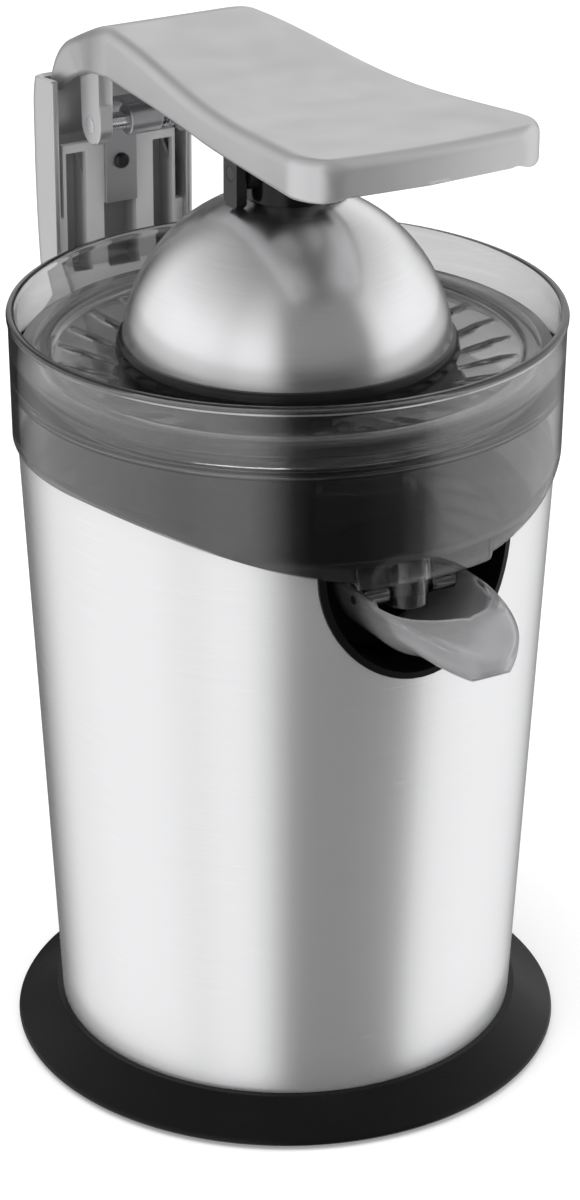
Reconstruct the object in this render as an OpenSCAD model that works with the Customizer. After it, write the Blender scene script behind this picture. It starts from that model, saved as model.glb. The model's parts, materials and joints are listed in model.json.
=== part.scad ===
// Electric citrus juicer with a press arm.
// The origin is on the floor under the drive shaft. +Z is up and the spout points along -Y.

/* [Base] */
// Radius of the black base
base_r = 95.4; // [92:0.2:100]
// Height of the black base above the floor
base_h = 12.6; // [12:0.2:16]
// Height of the base's underside above the floor
foot_gap = 1.5; // [1:0.1:2.5]
// Thickness of the base plate
plate_t = 2.6; // [2:0.1:3.2]
// Radius of one rubber foot
foot_r = 7; // [5:0.5:9]
// Distance of the rubber feet from the axis
foot_pcd_r = 74; // [66:1:78]
// Outer radius of the mains inlet grommet
grommet_r = 3.6; // [3.2:0.1:3.8]
// Radius of the bore for the mains lead
lead_r = 2.6; // [2.2:0.1:2.8]

/* [Body] */
// Radius of the steel sleeve at its foot
sleeve_foot_r = 79.4; // [77:0.2:81]
// Radius of the steel sleeve at its top edge
sleeve_top_r = 89.8; // [88:0.2:90.6]
// Height of the sleeve's top edge at the sides and rear
sleeve_top_z = 223; // [221:0.5:224]
// Thickness of the steel
sleeve_t = 0.8; // [0.6:0.1:1.2]
// Radius of the curve by which the sleeve's edge dips at the front
dip_r = 140; // [130:1:160]
// Distance in front of the axis where the dip starts
dip_start = 20; // [15:1:25]
// Wall of the plastic housing inside the sleeve
housing_t = 2; // [1.6:0.1:2.6]
// Width of the spout recess
recess_w = 72; // [66:1:76]
// Height of the centre of the recess's round part
recess_z = 209.7; // [206:0.5:212]
// Depth of the round part below its centre
recess_drop = 42; // [38:0.5:45]
// Width of the grey bezel round the recess
bezel_w = 2.4; // [1.8:0.1:3]
// Distance of the recess's rear wall from the axis
recess_back = 60; // [57:0.5:61]

/* [Deck and drive] */
// Height of the top of the deck under the juice collector
deck_z = 201; // [199:0.5:203]
// Thickness of the deck
deck_t = 3; // [2.5:0.1:3.5]
// Radius of the drive shaft
shaft_r = 5; // [4:0.1:5.5]
// Running clearance of the drive shaft and of the pins
run_gap = 0.05; // [0.03:0.01:0.08]
// Outer radius of the tower that carries the shaft
tower_r = 9.5; // [9:0.1:9.8]
// Height of the top of the tower
tower_z = 229.5; // [228:0.5:231]
// Height of the top of the drive shaft
shaft_top_z = 247; // [245:0.5:248]
// Travel of the cone when fruit is pressed on it
press_travel = 2.5; // [2:0.1:3]
// Teeth of the motor pinion and of the second pinion
pinion_teeth = 10; // [10:1:12]
// Teeth of both large gears
wheel_teeth = 50; // [44:2:50]
// Tooth module of the first gear pair
module_1 = 1; // [0.9:0.05:1.05]
// Tooth module of the second gear pair
module_2 = 1.25; // [1.1:0.05:1.3]
// Direction of the second shaft from the axis, in degrees
second_dir = 90; // [80:1:100]
// Turn from there to the motor's side, in degrees
motor_turn = 117; // [113:1:122]
// Radius of the motor's stator
stator_r = 29; // [26:0.5:30]
// Height of the motor's stator stack
stack_h = 34; // [28:1:38]

/* [Juice collector] */
// Outer radius of the collector's rim
rim_r = 92; // [91:0.2:94]
// Height of the rim
rim_z = 266.7; // [264:0.5:270]
// Outer radius of the collector's foot
collector_foot_r = 91.2; // [90.6:0.1:91.6]
// Wall of the collector
collector_t = 2.2; // [1.8:0.1:2.6]
// Height of the collector's floor at the axis
floor_z = 219; // [217:0.5:221]
// Fall of the floor towards the spout, in degrees
floor_fall = 4; // [3:0.2:4.6]
// Half width of the apron over the spout
apron_half_w = 25.2; // [23:0.2:28]
// Height of the apron's lower edge
apron_z = 203.5; // [202.5:0.2:206]
// Radius of the outlet tube in the collector's floor
chute_r = 7.5; // [7:0.25:8]
// Distance of the outlet tube from the axis
chute_y = 76.5; // [76:0.25:77]
// Height of the lower end of the outlet tube
chute_z = 190.5; // [189:0.5:191.5]

/* [Strainer and cone] */
// Height of the strainer's flange
strainer_z = 253.5; // [252:0.5:255]
// Wall of the strainer
strainer_t = 1.8; // [1.4:0.1:2.2]
// Inner radius of the strainer's flange
dish_r = 79; // [76:0.5:81]
// Depth of the strainer's dish below its flange
dish_drop = 13; // [11.5:0.25:13.5]
// Number of slots in each ring
slot_count = 28; // [20:1:32]
// Width of one slot
slot_w = 2; // [1.2:0.1:2.4]
// Radius of the reaming cone at its base
cone_r = 33; // [30:0.5:35]
// Height of the reaming cone's base
cone_z = 250; // [249.5:0.25:251]
// Height of the reaming cone
cone_h = 42; // [38:0.5:43]
// Number of ribs on the cone
cone_ribs = 10; // [8:1:12]
// Depth of the ribs as a share of the cone's radius
rib_share = 0.15; // [0.08:0.01:0.2]

/* [Spout] */
// Outer radius of the spout's nose
spout_r = 14.6; // [13:0.2:15.5]
// Outer radius of the spout's mouth under the outlet tube
mouth_r = 20; // [18.5:0.25:21]
// Wall of the spout
spout_t = 1.8; // [1.4:0.1:2.2]
// Height of the spout's axis
spout_z = 196.5; // [195:0.25:197]
// Distance of the centre of the spout's nose from the axis
nose_y = 117.3; // [112:0.5:120]
// Distance of the end of the mouth from the axis
mouth_y = 85; // [84:0.25:88]
// Distance of the start of the round nose tube from the axis
throat_y = 103; // [100:0.5:106]
// Distance of the rear wall of the spout from the axis
spout_back_y = 64.5; // [64:0.1:65]
// Radius of the hole in the nose through which juice falls
pour_r = 8; // [6:0.25:9.5]

/* [Press dome] */
// Outer radius of the steel dome
dome_r = 54.9; // [52:0.2:56]
// Height of the centre of the dome's sphere
dome_z = 251.5; // [250:0.25:253]
// Height of the dome's lower edge
dome_edge_z = 257; // [256:0.25:259]
// Thickness of the dome's steel
dome_t = 0.8; // [0.6:0.1:1.2]
// Outer radius of the black ring under the dome
ring_r = 57; // [56:0.2:58]
// Height of the lower edge of the black ring
ring_z = 250; // [249.5:0.25:252]
// Radius of the black hub on the dome
hub_r = 14; // [12:0.5:15]
// Height of the pin on which the dome tilts
tilt_z = 315; // [314:0.25:316]
// Radius of that pin
tilt_pin_r = 2.5; // [2:0.1:3]

/* [Press arm] */
// Distance of the arm's front end from the axis
arm_front = 88; // [84:1:96]
// Mean height of the arm's top
arm_top_z = 343.9; // [342:0.5:347]
// Depth of the wave in the arm's top
arm_wave = 2.1; // [1:0.1:3]
// Thickness of the arm in its middle
arm_t = 12; // [11.5:0.25:14]
// Half width of the arm at the axis
arm_half_w = 36.3; // [34:0.5:38]
// Growth of the half width for each millimetre towards the front
arm_flare = 0.0946; // [0.07:0.005:0.1]
// Wall of the arm's shell
arm_wall = 2.4; // [2:0.1:3]
// Distance behind the axis where the elbow starts
elbow_y = 70; // [66:1:74]
// Distance of the hinge pin behind the axis
hinge_y = 102; // [101.5:0.25:102.5]
// Height of the hinge pin
hinge_z = 303; // [301:0.5:304]
// Radius of the elbow round the hinge pin
elbow_r = 30.4; // [30:0.2:31]
// Angle at which the elbow's arc starts, in degrees
arc_start = 66; // [64:0.5:68]
// Angle of the seam between the arm and the column, in degrees
seam_angle = 19; // [17:0.5:22]
// Radius of the hinge pin
hinge_pin_r = 3; // [2.5:0.1:3.5]
// Radius of the hinge drum
drum_r = 12.5; // [11:0.25:13]

/* [Column] */
// Half width of the column
column_half_w = 27.4; // [27.2:0.1:29]
// Wall of the column's silver shell
column_t = 2.2; // [1.8:0.1:2.2]
// Distance of the column's front face behind the axis
column_front = 119; // [118.5:0.25:120]
// Height of the top of the inner frame
frame_top_z = 291; // [288:0.5:292]
// Height where the column leaves the body
column_foot_z = 150; // [145:1:160]
// Half width of the steel hinge tongue
tongue_half_w = 6.2; // [5.5:0.1:6.6]

/* [Hidden] */

// One overrun serves every cut
over = 1;
// Gap between pieces that sit against each other
seat = 0.1;
// Gap between rims and edges that meet in sight
edge_gap = 0.4;
// Half of the working width of cuts that pass through everything
wide = 160;
// Directions of the four corners
corner_dirs = [45, 135, 225, 315];
// Fine and plain roundness
fine = 96;
plain = 40;

function sleeve_r(z) =
    sleeve_foot_r + (sleeve_top_r - sleeve_foot_r) * (z - base_h) / (sleeve_top_z - base_h);
function lerp(a, b, t) = a + (b - a) * t;
function smooth(t) = let (u = min(1, max(0, t))) u * u * (3 - 2 * u);

// Lifts its children
module raise(z) {
    translate([0, 0, z]) children();
}

// Places its flat children, drawn in Y and Z, as a slab from x0 to x1
module slab(x0, x1) {
    translate([x0, 0, 0]) rotate([90, 0, 90]) linear_extrude(x1 - x0) children();
}

// A rod along X from x0 to x1 through the point y, z
module rod_x(r, x0, x1, y, z) {
    translate([x0, y, z]) rotate([0, 90, 0]) cylinder(r = r, h = x1 - x0, $fn = plain);
}

// A rod along Y from y0 to y1 through the point x, z
module rod_y(r, y0, y1, x, z) {
    translate([x, y1, z]) rotate([90, 0, 0]) cylinder(r = r, h = y1 - y0, $fn = plain);
}

// A ring round Z between two heights
module ring(r_in, r_out, z0, z1) {
    rotate_extrude($fn = fine) translate([r_in, z0]) square([r_out - r_in, z1 - z0]);
}

// A pan-head screw that points up, with its head's underside at z = 0
tip_share = 0.6;
crown_share = 0.7;
module screw(length) {
    rotate_extrude($fn = plain) polygon([
        [0, length], [screw_r * tip_share, length], [screw_r, length - screw_r], [screw_r, 0],
        [screw_head_r, 0], [screw_head_r, -screw_head_h / 2], [screw_head_r * crown_share, -screw_head_h],
        [0, -screw_head_h]]);
}

// A round wire bent into a helix about Z, between two heights
steps_per_turn = 14;
module helix(coil_r, wire_r, turns, z0, z1) {
    steps = turns * steps_per_turn;
    sides = 6;
    points = [for (i = [0 : steps]) let (a = 360 * turns * i / steps, z = lerp(z0, z1, i / steps))
        for (k = [0 : sides - 1]) let (b = 360 * k / sides, r = coil_r + wire_r * cos(b))
            [r * cos(a), r * sin(a), z + wire_r * sin(b)]];
    walls = [for (i = [0 : steps - 1], k = [0 : sides - 1])
        let (a = i * sides + k, b = i * sides + (k + 1) % sides, c = a + sides, d = b + sides)
            each [[a, b, c], [b, d, c]]];
    first = [for (k = [1 : sides - 2]) [0, k + 1, k]];
    last_row = steps * sides;
    last = [for (k = [1 : sides - 2]) [last_row, last_row + k, last_row + k + 1]];
    polyhedron(points, concat(walls, first, last));
}

// A spur gear's outline; the flanks are straight and leave a little backlash
tooth_top_share = 0.2;
tooth_mid_share = 0.43;
tooth_root_share = 0.6;
tooth_foot_share = 1.25;
module gear_outline(m, teeth) {
    pitch_r = m * teeth / 2;
    foot_r = pitch_r - tooth_foot_share * m;
    step = 180 / teeth;
    function at(r, a) = [r * cos(a), r * sin(a)];
    polygon([for (i = [0 : teeth - 1]) let (a = 360 * i / teeth) each [
        at(foot_r, a - tooth_root_share * step), at(pitch_r, a - tooth_mid_share * step),
        at(pitch_r + m, a - tooth_top_share * step), at(pitch_r + m, a + tooth_top_share * step),
        at(pitch_r, a + tooth_mid_share * step), at(foot_r, a + tooth_root_share * step)]]);
}

// The region under the sleeve's dipping edge, raised by an offset, as an outline in Y and Z
dip_steps = 14;
function dip_z(y) = sleeve_top_z - dip_r + sqrt(dip_r * dip_r - (y + dip_start) * (y + dip_start));
module under_edge(off) {
    slab(-wide, wide) polygon(concat(
        [[wide, -over], [wide, sleeve_top_z + off]],
        [for (i = [0 : dip_steps]) let (y = lerp(-dip_start, -base_r, i / dip_steps)) [y, dip_z(y) + off]],
        [[-wide, dip_z(-base_r) + off], [-wide, -over]]));
}

// The U of the spout recess, grown by an offset, from y0 to y1
u_steps = 28;
module recess_prism(off, y0, y1) {
    translate([0, y1, 0]) rotate([90, 0, 0]) linear_extrude(y1 - y0) polygon(concat(
        [for (i = [0 : u_steps]) let (a = 180 + 180 * i / u_steps)
            [(recess_w / 2 + off) * cos(a), recess_z + (recess_drop + off) * sin(a)]],
        [[recess_w / 2 + off, sleeve_top_z + over], [-recess_w / 2 - off, sleeve_top_z + over]]));
}

// A solid of the sleeve's taper, smaller by an inset
module taper(inset, z0, z1) {
    raise(z0)
        cylinder(r1 = sleeve_r(z0) - inset, r2 = sleeve_r(z1) - inset, h = z1 - z0, $fn = fine);
}

// Screws
screw_r = 1.5;
screw_head_r = 2.8;
screw_head_h = 1.8;
screw_gap = 0.15;
screw_bite = 7;

// Base
collar_t = 2.2;
collar_h = 6;
collar_r = sleeve_foot_r - sleeve_t - edge_gap;
plate_rim = 7;
grommet_play = 0.3;
plate_r = base_r - plate_rim;
plate_top = foot_gap + plate_t;
skirt_edge_h = 2;
skirt_edge_in = 0.5;
base_screw_r = foot_pcd_r - foot_r - 2 * screw_head_r;
post_r = 4;
floor_lift = 2;
base_floor_z = base_h + collar_h + floor_lift;
grommet_flange = 0.8;
grommet_z = plate_top + grommet_r + grommet_flange + grommet_play;
grommet_l = 12;
grommet_proud = 2;
grommet_y = base_r - grommet_l + grommet_proud;
vent_count = 16;
vent_l = 18;
vent_w = 3;
vent_r = 34;
foot_sink = 1.6;

module base_skirt() {
    knee_share = 0.55;
    knee_rise_share = 0.6;
    color("black") difference() {
        rotate_extrude($fn = fine) polygon([
            [collar_r - collar_t, plate_top + seat], [collar_r - collar_t, base_h + collar_h],
            [collar_r, base_h + collar_h], [collar_r, base_h], [sleeve_foot_r + collar_t, base_h],
            [lerp(sleeve_foot_r, base_r, knee_share), lerp(foot_gap, base_h, knee_rise_share)],
            [base_r - skirt_edge_in, foot_gap + skirt_edge_h], [base_r, foot_gap + skirt_edge_h / 2],
            [base_r - skirt_edge_in, foot_gap], [plate_r + seat, foot_gap],
            [plate_r + seat, plate_top + seat]]);
        rod_y(grommet_r + seat, 0, base_r + over, 0, grommet_z);
    }
}

module base_plate() {
    color("dimgray") difference() {
        ring(0, plate_r, foot_gap, plate_top);
        for (a = corner_dirs) rotate(a) {
            translate([foot_pcd_r, 0, foot_gap - over])
                cylinder(r = foot_r + seat, h = foot_sink + over, $fn = plain);
            translate([base_screw_r, 0, foot_gap - over])
                cylinder(r = screw_r + screw_gap, h = plate_t + 2 * over, $fn = plain);
            translate([base_screw_r, 0, foot_gap - over])
                cylinder(r = screw_head_r + screw_gap, h = screw_head_h + over, $fn = plain);
        }
        for (i = [0 : vent_count - 1]) rotate(360 * i / vent_count)
            translate([vent_r - vent_l / 2, -vent_w / 2, foot_gap - over])
                cube([vent_l, vent_w, plate_t + 2 * over]);
    }
}

module rubber_feet() {
    foot_round = 0.4;
    color("black") for (a = corner_dirs) rotate(a) translate([foot_pcd_r, 0, 0])
        rotate_extrude($fn = plain) polygon([
            [0, 0], [foot_r - foot_round, 0], [foot_r, foot_round], [foot_r, foot_gap + foot_sink - seat],
            [0, foot_gap + foot_sink - seat]]);
}

module base_screws() {
    color("silver") for (a = corner_dirs) rotate(a)
        translate([base_screw_r, 0, foot_gap + screw_head_h]) screw(screw_bite);
}

module inlet_grommet() {
    color("black") difference() {
        union() {
            rod_y(grommet_r, grommet_y, grommet_y + grommet_l, 0, grommet_z);
            rod_y(grommet_r + grommet_flange, collar_r - collar_t - grommet_flange - grommet_play,
                collar_r - collar_t - grommet_play, 0, grommet_z);
            rod_y(grommet_r, collar_r - collar_t - grommet_flange - seat, base_r - over, 0, grommet_z);
        }
        rod_y(lead_r, 0, wide, 0, grommet_z);
    }
}

// Body
housing_gap = 0.3;
housing_top = deck_z - deck_t - seat;
floor_hole_r = 24;
deck_screw_r = 72;
deck_rim_t = 2;
column_screw_x = 13;
column_screw_rises = [16, 38];
column_screw_zs = [for (rise = column_screw_rises) column_foot_z + rise];
column_screw_reach = 9;

module column_screw_holes(r) {
    for (s = [-1, 1], z = column_screw_zs) rod_y(r,
        sleeve_foot_r - column_screw_reach, base_r + column_screw_reach, s * column_screw_x, z);
}

module body_sleeve() {
    color("silver") difference() {
        intersection() {
            difference() {
                taper(0, base_h + seat, sleeve_top_z);
                taper(sleeve_t, base_h + seat - over, sleeve_top_z + over);
            }
            under_edge(0);
        }
        recess_prism(0, -wide, -recess_back);
        column_screw_holes(screw_r + screw_gap);
    }
}

module inner_housing() {
    inset = sleeve_t + housing_gap;
    z0 = base_h + collar_h + seat;
    color([0.2, 0.2, 0.2]) difference() {
        union() {
            difference() {
                taper(inset, z0, housing_top);
                taper(inset + housing_t, base_floor_z + housing_t, housing_top + over);
                raise(z0 - over) cylinder(r = floor_hole_r, h = housing_t * 4, $fn = fine);
            }
            for (a = corner_dirs) rotate(a) {
                translate([base_screw_r, 0, plate_top + seat])
                    cylinder(r = post_r, h = base_floor_z - plate_top, $fn = plain);
                translate([deck_screw_r, 0, base_floor_z])
                    cylinder(r = post_r, h = housing_top - base_floor_z, $fn = plain);
            }
        }
        for (a = corner_dirs) rotate(a) {
            translate([base_screw_r, 0, 0])
                cylinder(r = screw_r + screw_gap, h = base_floor_z, $fn = plain);
            translate([deck_screw_r, 0, housing_top - 2 * screw_bite])
                cylinder(r = screw_r + screw_gap, h = 2 * screw_bite + over, $fn = plain);
        }
        recess_prism(seat, -wide, -recess_back + seat);
        column_screw_holes(screw_r + screw_gap);
    }
}

module spout_recess() {
    lip = 0.6;
    back_t = 2;
    color([0.12, 0.12, 0.12]) intersection() {
        difference() {
            recess_prism(-seat, -wide, -recess_back);
            recess_prism(-bezel_w, -wide - over, -recess_back - back_t);
        }
        taper(-lip, base_h, sleeve_top_z);
        under_edge(-seat);
        sloped_slab(floor_z - floor_t - edge_gap, 2 * wide);
    }
}

module top_deck() {
    inset = sleeve_t + housing_gap;
    color([0.15, 0.15, 0.15]) difference() {
        union() {
            intersection() {
                rotate_extrude($fn = fine) polygon([
                    [0, deck_z - deck_t], [sleeve_r(deck_z - deck_t) - inset, deck_z - deck_t],
                    [sleeve_r(sleeve_top_z) - inset, sleeve_top_z],
                    [sleeve_r(sleeve_top_z) - inset - deck_rim_t, sleeve_top_z],
                    [sleeve_r(deck_z) - inset - deck_rim_t, deck_z], [0, deck_z]]);
                under_edge(-edge_gap);
                sloped_slab(floor_z - floor_t - edge_gap, 2 * wide);
            }
            raise(deck_z - over)
                cylinder(r = tower_r, h = tower_top - deck_z + over, $fn = fine);
        }
        raise(deck_z - deck_t - over)
            cylinder(r = bush_r + seat, h = tower_top, $fn = plain);
        for (a = corner_dirs) rotate(a) translate([deck_screw_r, 0, 0])
            cylinder(r = screw_r + screw_gap, h = deck_z + over, $fn = plain);
        for (p = case_screw_places) translate([p[0], p[1], 0])
            cylinder(r = screw_r + screw_gap, h = deck_z + over, $fn = plain);
        recess_prism(seat, -wide, -recess_back + seat);
    }
}

module deck_screws() {
    color("silver") for (a = corner_dirs) rotate(a)
        translate([deck_screw_r, 0, deck_z + seat / 2]) mirror([0, 0, 1]) screw(deck_t + screw_bite);
}

// Gear train
bush_t = 2;
bush_r = shaft_r + bush_t;
seal_h = 3.4;
tower_top = tower_z - seal_h;
case_screw_dirs = [-18, 198, 305];
far_screw_dir = 52;
motor_lug_w = 4;
centre_1 = module_1 * (pinion_teeth + wheel_teeth) / 2;
centre_2 = module_2 * (pinion_teeth + wheel_teeth) / 2;
second_at = [centre_2 * cos(second_dir), centre_2 * sin(second_dir)];
motor_dir = second_dir + motor_turn;
motor_at = second_at + [centre_1 * cos(motor_dir), centre_1 * sin(motor_dir)];
case_wall = 2.4;
case_h = 34;
case_lid_t = 3;
case_drop = 3;
case_top = deck_z - deck_t - case_drop;
case_z = case_top - case_lid_t - seat - case_h;
wheel_1_r = module_1 * (wheel_teeth / 2 + 1);
wheel_2_r = module_2 * (wheel_teeth / 2 + 1);
tip_1_r = module_1 * (pinion_teeth / 2 + 1);
gear_room = 1.2;
gear_1_lift = 4;
gear_1_z = case_z + case_wall + gear_1_lift;
gear_1_t = 7;
gear_2_lift = 5.4;
gear_2_z = gear_1_z + gear_1_t + gear_2_lift;
gear_2_t = 7;
pin_r = 2.5;
case_screw_r = 5;
boss_lap = 1;
pin_boss_t = 2;
case_screw_places = [
    for (a = case_screw_dirs)
        (wheel_2_r + gear_room + case_wall + case_screw_r - boss_lap) * [cos(a), sin(a)],
    second_at + (wheel_1_r + gear_room + case_wall + case_screw_r - boss_lap)
        * [cos(far_screw_dir), sin(far_screw_dir)]];

// The outline of the gear case, grown by an offset
module case_outline(off) {
    circle(r = wheel_2_r + gear_room + off, $fn = fine);
    translate(second_at) circle(r = wheel_1_r + gear_room + off, $fn = fine);
    translate(motor_at) circle(r = tip_1_r + gear_room + off + motor_lug_w, $fn = plain);
}

module case_screw_bosses(z0, z1) {
    for (p = case_screw_places) translate([p[0], p[1], z0])
        cylinder(r = case_screw_r, h = z1 - z0, $fn = plain);
}

module case_screw_bores(r) {
    for (p = case_screw_places) translate([p[0], p[1], 0]) cylinder(r = r, h = wide * 2, $fn = plain);
}

module gear_case() {
    color([0.85, 0.85, 0.8]) difference() {
        union() {
            raise(case_z) linear_extrude(case_h) case_outline(case_wall);
            case_screw_bosses(case_z, case_z + case_h);
            at_motor() raise(case_z) linear_extrude(case_wall)
                for (a = motor_screw_dirs) rotate(a) {
                    translate([0, -post_r]) square([motor_screw_r, 2 * post_r]);
                    translate([motor_screw_r, 0]) circle(r = post_r, $fn = plain);
                }
        }
        difference() {
            raise(case_z + case_wall) linear_extrude(case_h) case_outline(0);
            translate([second_at[0], second_at[1], case_z])
                cylinder(r = pin_r + pin_boss_t, h = gear_1_z - case_z - seat, $fn = plain);
        }
        case_screw_bores(screw_r + screw_gap);
        translate([second_at[0], second_at[1], case_z + case_wall / 2])
            cylinder(r = pin_r + run_gap, h = case_h, $fn = plain);
        translate([motor_at[0], motor_at[1], case_z - over])
            cylinder(r = motor_nose_r + seat, h = case_wall + 2 * over, $fn = plain);
        raise(case_z - over)
            cylinder(r = plunger_r + run_gap, h = case_wall + 2 * over, $fn = plain);
        motor_screw_bores(screw_r + screw_gap, case_z - over, case_z + case_wall + over);
    }
}

module gear_case_cover() {
    color([0.8, 0.8, 0.75]) difference() {
        union() {
            raise(case_top - case_lid_t) linear_extrude(case_lid_t) case_outline(case_wall);
            case_screw_bosses(case_top - case_lid_t, deck_z - deck_t - seat);
        }
        case_screw_bores(screw_r + screw_gap);
        raise(case_top - case_lid_t - over)
            cylinder(r = bush_r + seat, h = case_lid_t + 2 * over, $fn = plain);
        translate([second_at[0], second_at[1], case_top - case_lid_t - over])
            cylinder(r = pin_r + run_gap, h = case_lid_t / 2 + over, $fn = plain);
    }
}

module case_screws() {
    color("silver") for (p = case_screw_places) translate([p[0], p[1], deck_z + seat / 2])
        mirror([0, 0, 1]) screw(deck_z - case_top + case_lid_t + screw_bite);
}

pin_sleeve = 1.4;
module second_gear() {
    half_step = 180 / wheel_teeth;
    color("ivory") translate([second_at[0], second_at[1], 0]) difference() {
        union() {
            raise(gear_1_z) linear_extrude(gear_1_t) rotate(motor_dir + half_step)
                gear_outline(module_1, wheel_teeth);
            raise(gear_1_z + gear_1_t - seat)
                linear_extrude(gear_2_z + gear_2_t + over - gear_1_z - gear_1_t)
                    rotate(second_dir + 180) gear_outline(module_2, pinion_teeth);
            raise(gear_1_z)
                cylinder(r = pin_r + pin_sleeve, h = case_top - case_lid_t - 2 * seat - gear_1_z,
                    $fn = plain);
        }
        raise(gear_1_z - over)
            cylinder(r = pin_r + run_gap, h = case_h, $fn = plain);
    }
}

module second_gear_pin() {
    color("silver") translate([second_at[0], second_at[1], case_z + case_wall / 2 + seat])
        cylinder(r = pin_r, h = case_top - case_lid_t / 2 - case_z - case_wall / 2 - 2 * seat, $fn = plain);
}

// The six-sided part of the shaft is larger across its flats than the round part
hex_r = (shaft_r + seat) / cos(30);
hub_wall = 3.5;
hub_drop = 3;
module output_gear() {
    half_step = 180 / wheel_teeth;
    color("ivory") difference() {
        union() {
            raise(gear_2_z) linear_extrude(gear_2_t) rotate(second_dir + half_step)
                gear_outline(module_2, wheel_teeth);
            raise(gear_2_z - hub_drop) cylinder(r = hex_r + hub_wall,
                h = case_top - case_lid_t - 2 * seat - gear_2_z + hub_drop, $fn = plain);
        }
        raise(gear_2_z - hub_drop - over) cylinder(r = hex_r + run_gap, h = case_h, $fn = 6);
    }
}

// Drive shaft and its switch
shaft_foot_t = 2.2;
shaft_foot_gap = 0.3;
shaft_foot_rim = 2;
shaft_foot_top = gear_2_z - hub_drop - shaft_foot_gap;
shaft_foot_z = shaft_foot_top - shaft_foot_t;
hex_top = case_top - case_lid_t;
drive_hex_step = 0.4;
drive_hex_lift = 2;
drive_hex_r = shaft_r - drive_hex_step;
drive_hex_z = tower_z + drive_hex_lift;
module drive_shaft() {
    color("silver") {
        raise(shaft_foot_z) cylinder(r = hex_r + shaft_foot_rim, h = shaft_foot_t, $fn = plain);
        raise(shaft_foot_z) cylinder(r = hex_r, h = hex_top - shaft_foot_z, $fn = 6);
        raise(hex_top - over)
            cylinder(r = shaft_r, h = drive_hex_z - hex_top + over, $fn = plain);
        raise(drive_hex_z - over)
            cylinder(r = drive_hex_r, h = shaft_top_z - drive_hex_z + over, $fn = 6);
    }
}

module shaft_bush() {
    color("goldenrod") {
        ring(shaft_r + run_gap, bush_r, case_top - case_lid_t + 2 * over, tower_top - seat);
    }
}

module shaft_seal() {
    lip_gap = 0.3;
    color("black") ring(shaft_r + lip_gap, tower_r - seat, tower_top + seat, tower_z);
}

plunger_r = 3;
plunger_head_r = 6;
plunger_head_t = 3;
plunger_proud = 2;
plunger_foot_z = case_z - plunger_proud;
module press_plunger() {
    color("white") {
        raise(shaft_foot_z - seat - plunger_head_t)
            cylinder(r = plunger_head_r, h = plunger_head_t, $fn = plain);
        raise(plunger_foot_z)
            cylinder(r = plunger_r, h = shaft_foot_z - seat - plunger_foot_z - over, $fn = plain);
    }
}

spring_wire_r = 0.5;
spring_room = 1.5;
spring_turns = 5;
module return_spring() {
    top = shaft_foot_z - seat - plunger_head_t;
    color("silver") helix(plunger_r + spring_room, spring_wire_r, spring_turns,
        case_z + case_wall + spring_wire_r + seat, top - spring_wire_r - seat);
}

lever_t = 0.8;
lever_l = 25;
lever_half_w = 2;
lever_gap = 0.3;
lever_z = plunger_foot_z - lever_gap - lever_t;
lever_pin_r = 1;
switch_gap = 0.5;
switch_top = lever_z - press_travel - switch_gap;
switch_h = 10;
switch_ear_half = 4;
switch_ear_t = 1.8;
switch_room = 3;
switch_half_w = 5;
module micro_switch() {
    ear_x0 = lever_l - switch_ear_half;
    ear_x1 = lever_l + switch_ear_half;
    color([0.1, 0.1, 0.1]) difference() {
        union() {
            translate([plunger_r + switch_room, -switch_half_w, switch_top - switch_h])
                cube([ear_x1 - plunger_r - switch_room, 2 * switch_half_w, switch_h]);
            for (s = [-1, 1])
            translate([ear_x0, s * (switch_half_w - switch_ear_t / 2) - switch_ear_t / 2,
                switch_top - over])
                cube([ear_x1 - ear_x0, switch_ear_t, case_z - seat - switch_top + over]);
        }
        rod_y(lever_pin_r + run_gap, -wide, wide, lever_l, lever_z + lever_t / 2);
    }
}

module switch_lever() {
    color("silver") {
        translate([-plunger_r, -lever_half_w, lever_z])
            cube([lever_l + plunger_r, 2 * lever_half_w, lever_t]);
        rod_y(lever_pin_r, -switch_half_w + seat, switch_half_w - seat, lever_l, lever_z + lever_t / 2);
    }
}

// Motor
motor_skin = 1;
motor_r = stator_r + motor_skin;
stator_ring = 10.5;
rotor_r = stator_r - stator_ring;
rotor_gap = 0.5;
stack_drop = 20;
stack_top = case_z - stack_drop;
stack_z = stack_top - stack_h;
cap_t = 2;
motor_top = case_z - seat;
motor_tail = 28;
motor_foot = stack_z - motor_tail;
coil_h = 9;
motor_shaft_r = 2.5;
shaft_room = 1;
shaft_end = 1;
bearing_r = 8;
bearing_t = 5;
motor_nose_r = 6;
motor_screw_out = 4;
motor_screw_r = stator_r + motor_screw_out;
motor_screw_dirs = [115, 295];
fan_gap = 1.5;
fan_h = 8;
commutator_r = 10;
commutator_h = 9;
commutator_gap = 1;
commutator_z = stack_z - coil_h - commutator_h - commutator_gap;

module at_motor() {
    translate([motor_at[0], motor_at[1], 0]) children();
}

module motor_screw_bores(r, z0, z1) {
    at_motor() for (a = motor_screw_dirs) rotate(a) translate([motor_screw_r, 0, z0])
        cylinder(r = r, h = z1 - z0, $fn = plain);
}

yoke_ring = 4;
coil_inset = 3;
module motor_stator() {
    pole_w = 9;
    pole_sink = 2;
    color([0.45, 0.45, 0.48]) at_motor() union() {
        ring(stator_r - yoke_ring, stator_r, stack_z, stack_top);
        for (s = [0, 180]) rotate(s) intersection() {
            ring(rotor_r + rotor_gap, stator_r - pole_sink, stack_z, stack_top);
            translate([0, -pole_w, stack_z]) cube([stator_r, 2 * pole_w, stack_h]);
        }
    }
}

module stator_coils() {
    color("peru") at_motor() {
        ring(rotor_r + rotor_gap, stator_r - coil_inset, stack_top + seat, stack_top + coil_h);
        ring(rotor_r + rotor_gap, stator_r - coil_inset, stack_z - coil_h, stack_z - seat);
    }
}

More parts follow.
